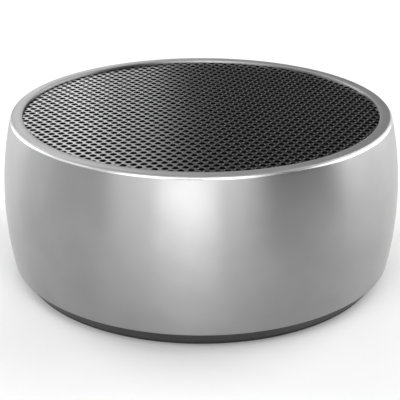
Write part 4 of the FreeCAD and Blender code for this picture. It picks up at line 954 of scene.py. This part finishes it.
class SPEAKER_OT_sockets(bpy.types.Operator):
    """Charging socket with its tongue, audio socket, and the light pipe beside them"""
    bl_idname = "speaker.sockets"
    bl_label = "Sockets and light"

    def execute(self, context):
        turns, inner = places(), panel_inner()
        mouth = barrel(CONTROLS) - PANEL_SET_BACK - 0.5 * MM
        length = 7.6 * MM
        back = mouth - length
        outer_half, inner_half = (4.5 * MM, 1.6 * MM), (4.2 * MM, 1.3 * MM)
        shell = stadium("usb_socket_shell", *outer_half, back, length)
        combine(shell, [stadium("inside", *inner_half, back - MM, length + 2 * MM)], "DIFFERENCE")
        round_edges(shell, 0.08 * MM, 2, 50)
        feet = [block("foot", 0.5 * MM, 1.6 * MM, 1.1 * MM, x=x, y=back + 0.1 * MM, z=BOARD_TOP)
                for x in (-2.9 * MM, 2.9 * MM)]
        combine(shell, feet, "UNION")
        stand_in(face_back(shell, turns["usb"]), "usb_socket_shell")

        thickness = 0.7 * MM
        tongue = block("usb_socket_tongue", 6.7 * MM, 6.8 * MM, thickness, y=back,
                       z=CONTROLS - thickness / 2)
        round_edges(tongue, 0.15 * MM, 2)
        combine(tongue, [stadium("stopper", *inner_half, back, 2 * MM)], "UNION")
        stand_in(face_back(tongue, turns["usb"]), "usb_socket_tongue")

        face, deep, nose_radius, plug_radius = inner - 0.6 * MM, 11.5 * MM, 2.8 * MM, 1.8 * MM
        socket = block("aux_socket", 6.4 * MM, deep, 4.8 * MM, y=face - deep, z=BOARD_TOP)
        round_edges(socket, 0.15 * MM, 2)
        nose = rod("nose", nose_radius, (0, face - MM, CONTROLS), mouth - face + MM, "y", 96)
        round_edges(nose, 0.2 * MM, 2)
        combine(socket, [nose], "UNION")
        bore = rod("bore", plug_radius, (0, mouth - 13.2 * MM, CONTROLS), 20 * MM, "y")
        combine(socket, [bore], "DIFFERENCE")
        stand_in(face_back(socket, turns["aux"]), "aux_socket")

        height = CONTROLS + LAMP_RISE
        tail, face = inner - 2.4 * MM, barrel(height, PANEL_SET_BACK)
        pipe = rod("status_light_pipe", 0.9 * MM, (0, tail, height), face - tail, "y", 48)
        round_edges(pipe, 0.15 * MM, 3)
        collar_deep = 0.6 * MM
        collar = rod("collar", 1.4 * MM, (0, inner - collar_deep, height), collar_deep, "y", 48)
        combine(pipe, [collar], "UNION")
        stand_in(face_back(pipe, turns["light"]), "status_light_pipe")
        return {"FINISHED"}


class SPEAKER_OT_finishes(bpy.types.Operator):
    """Gives every CAD node that is still shown the finish of its slot"""
    bl_idname = "speaker.finishes"
    bl_label = "Finishes"

    def execute(self, context):
        for node, piece in frame["nodes"].items():
            piece.data.materials.clear()
            piece.data.materials.append(finish_for(SLOTS[node]))
        return {"FINISHED"}


# Soft lights round the speaker. Each row holds its azimuth from the front towards +X, its elevation, its
# distance from the point on the axis that it is aimed at, its width, its height, its radiance, the height
# of that point, and its spread; angles in degrees, lengths in metres
LIGHTS = {
    "front_low_left": (-14, 6, 0.6, 0.16, 0.14, 9.3, 0.02, 180),
    "front_low": (0, 6, 0.6, 0.16, 0.14, 9.5, 0.02, 180),
    "front_right_inner": (14, 30, 0.7, 0.2, 0.8, 1.65, 0.02, 180),
    "front_right": (25, 30, 0.7, 0.2, 0.8, 1.5, 0.02, 180),
    "front_left": (-35, 26, 0.6, 0.31, 0.6, 2.2, 0.02, 180),
    "side_left_front": (-65, 26, 0.6, 0.31, 0.6, 0.65, 0.02, 180),
    "side_left": (-95, 26, 0.6, 0.31, 0.6, 1.1, 0.02, 180),
    "side_right": (95, 26, 0.6, 0.31, 0.6, 2.8, 0.02, 180),
    "rear_left": (-125, 26, 0.6, 0.31, 0.6, 3.6, 0.02, 180),
    "rear_right": (125, 26, 0.6, 0.31, 0.6, 3.6, 0.02, 180),
    "rear_strip_outer": (-164, 22, 0.7, 0.08, 0.3, 1.8, 0.035, 180),
    "rear_strip": (-169, 22, 0.7, 0.08, 0.3, 3.1, 0.035, 180),
    "rear_strip_middle": (-174, 22, 0.7, 0.08, 0.3, 1.95, 0.035, 180),
    "above_front": (0, 56, 0.35, 0.5, 0.06, 0.6, 0.037, 70),
    "above_rear": (180, 50, 1.56, 1.6, 1.0, 0.6, 0.0, 180),
    "above": (0, 90, 1.6, 1.8, 1.8, 0.2, 0.0, 180),
}


class SPEAKER_OT_stage(bpy.types.Operator):
    """Pale floor, soft studio lights and the camera"""
    bl_idname = "speaker.stage"
    bl_label = "Stage"

    def card(self, name, azimuth, elevation, distance, wide, high, radiance, aim, spread):
        """A rectangular soft light of that radiance, aimed at a point on the axis."""
        around, up = math.radians(azimuth), math.radians(elevation)
        target = Vector((0, 0, aim))
        centre = target + distance * Vector((
            math.sin(around) * math.cos(up), -math.cos(around) * math.cos(up), math.sin(up)))
        object_mode()
        bpy.ops.object.select_all(action="DESELECT")
        bpy.ops.object.light_add(type="AREA", location=centre)
        lamp = bpy.context.object
        lamp.name = name
        lamp.data.shape = "RECTANGLE"
        lamp.data.size, lamp.data.size_y = wide, high
        lamp.data.spread = math.radians(spread)
        strength = bpy.context.scene.speaker_stage.light_strength
        lamp.data.energy = math.pi * wide * high * radiance * strength
        lamp.rotation_mode = "QUATERNION"
        lamp.rotation_quaternion = (target - centre).to_track_quat("-Z", "Y")
        lamp.visible_camera = False

    def execute(self, context):
        scene = context.scene
        stage = scene.speaker_stage
        world = bpy.data.worlds.new("Studio")
        world.use_nodes = True
        background = world.node_tree.nodes["Background"]
        background.inputs["Color"].default_value = stage.room_colour
        background.inputs["Strength"].default_value = stage.room_light
        scene.world = world
        scene.view_settings.view_transform = "Standard"

        object_mode()
        bpy.ops.object.select_all(action="DESELECT")
        bpy.ops.mesh.primitive_plane_add(size=6, location=(0, 0, 0))
        floor = bpy.context.object
        floor.name = "floor"
        paper, shader = new_material("Seamless white paper", Roughness=0.9)
        mottle(paper, shader, "#E6E6E6", "#E9E9E9", 40 * MM)
        grain(paper, shader, 1.0 * MM, 0.02 * MM, 0.9, 0.03)
        floor.data.materials.append(paper)

        for name, row in LIGHTS.items():
            self.card(name, *row)

        downwards = math.radians(22.43)
        bpy.ops.object.camera_add(location=(0, -0.2507, 0.11865))
        camera = bpy.context.object
        camera.name = "camera"
        camera.rotation_euler = (math.pi / 2 - downwards, 0, 0)
        camera.data.sensor_width = 36
        camera.data.lens = 104.616
        camera.data.shift_x = -0.003
        scene.camera = camera
        return {"FINISHED"}


class SPEAKER_PT_panel(bpy.types.Panel):
    """Lists the speaker's sizes and the operators that model it"""
    bl_idname = "SPEAKER_PT_panel"
    bl_label = "Desktop speaker"
    bl_space_type = "VIEW_3D"
    bl_region_type = "UI"
    bl_category = "Speaker"

    def draw(self, context):
        for group in (context.scene.speaker_sizes, context.scene.speaker_stage):
            for name in group.__annotations__:
                self.layout.prop(group, name)
        for operator in OPERATORS:
            self.layout.operator(operator.bl_idname)


OPERATORS = (SPEAKER_OT_shell, SPEAKER_OT_grille, SPEAKER_OT_cloth, SPEAKER_OT_base, SPEAKER_OT_foot,
             SPEAKER_OT_screws, SPEAKER_OT_panel, SPEAKER_OT_buttons, SPEAKER_OT_switch, SPEAKER_OT_sockets,
             SPEAKER_OT_finishes, SPEAKER_OT_stage)
CLASSES = (SpeakerSizes, SpeakerStage, *OPERATORS, SPEAKER_PT_panel)


def register():
    for item in CLASSES:
        bpy.utils.register_class(item)
    bpy.types.Scene.speaker_sizes = PointerProperty(type=SpeakerSizes)
    bpy.types.Scene.speaker_stage = PointerProperty(type=SpeakerStage)


def unregister():
    del bpy.types.Scene.speaker_stage
    del bpy.types.Scene.speaker_sizes
    for item in reversed(CLASSES):
        bpy.utils.unregister_class(item)


def main():
    """Registers the add-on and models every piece."""
    register()
    for operator in OPERATORS:
        group, name = operator.bl_idname.split(".")
        getattr(getattr(bpy.ops, group), name)()


if __name__ == "__main__":
    main()
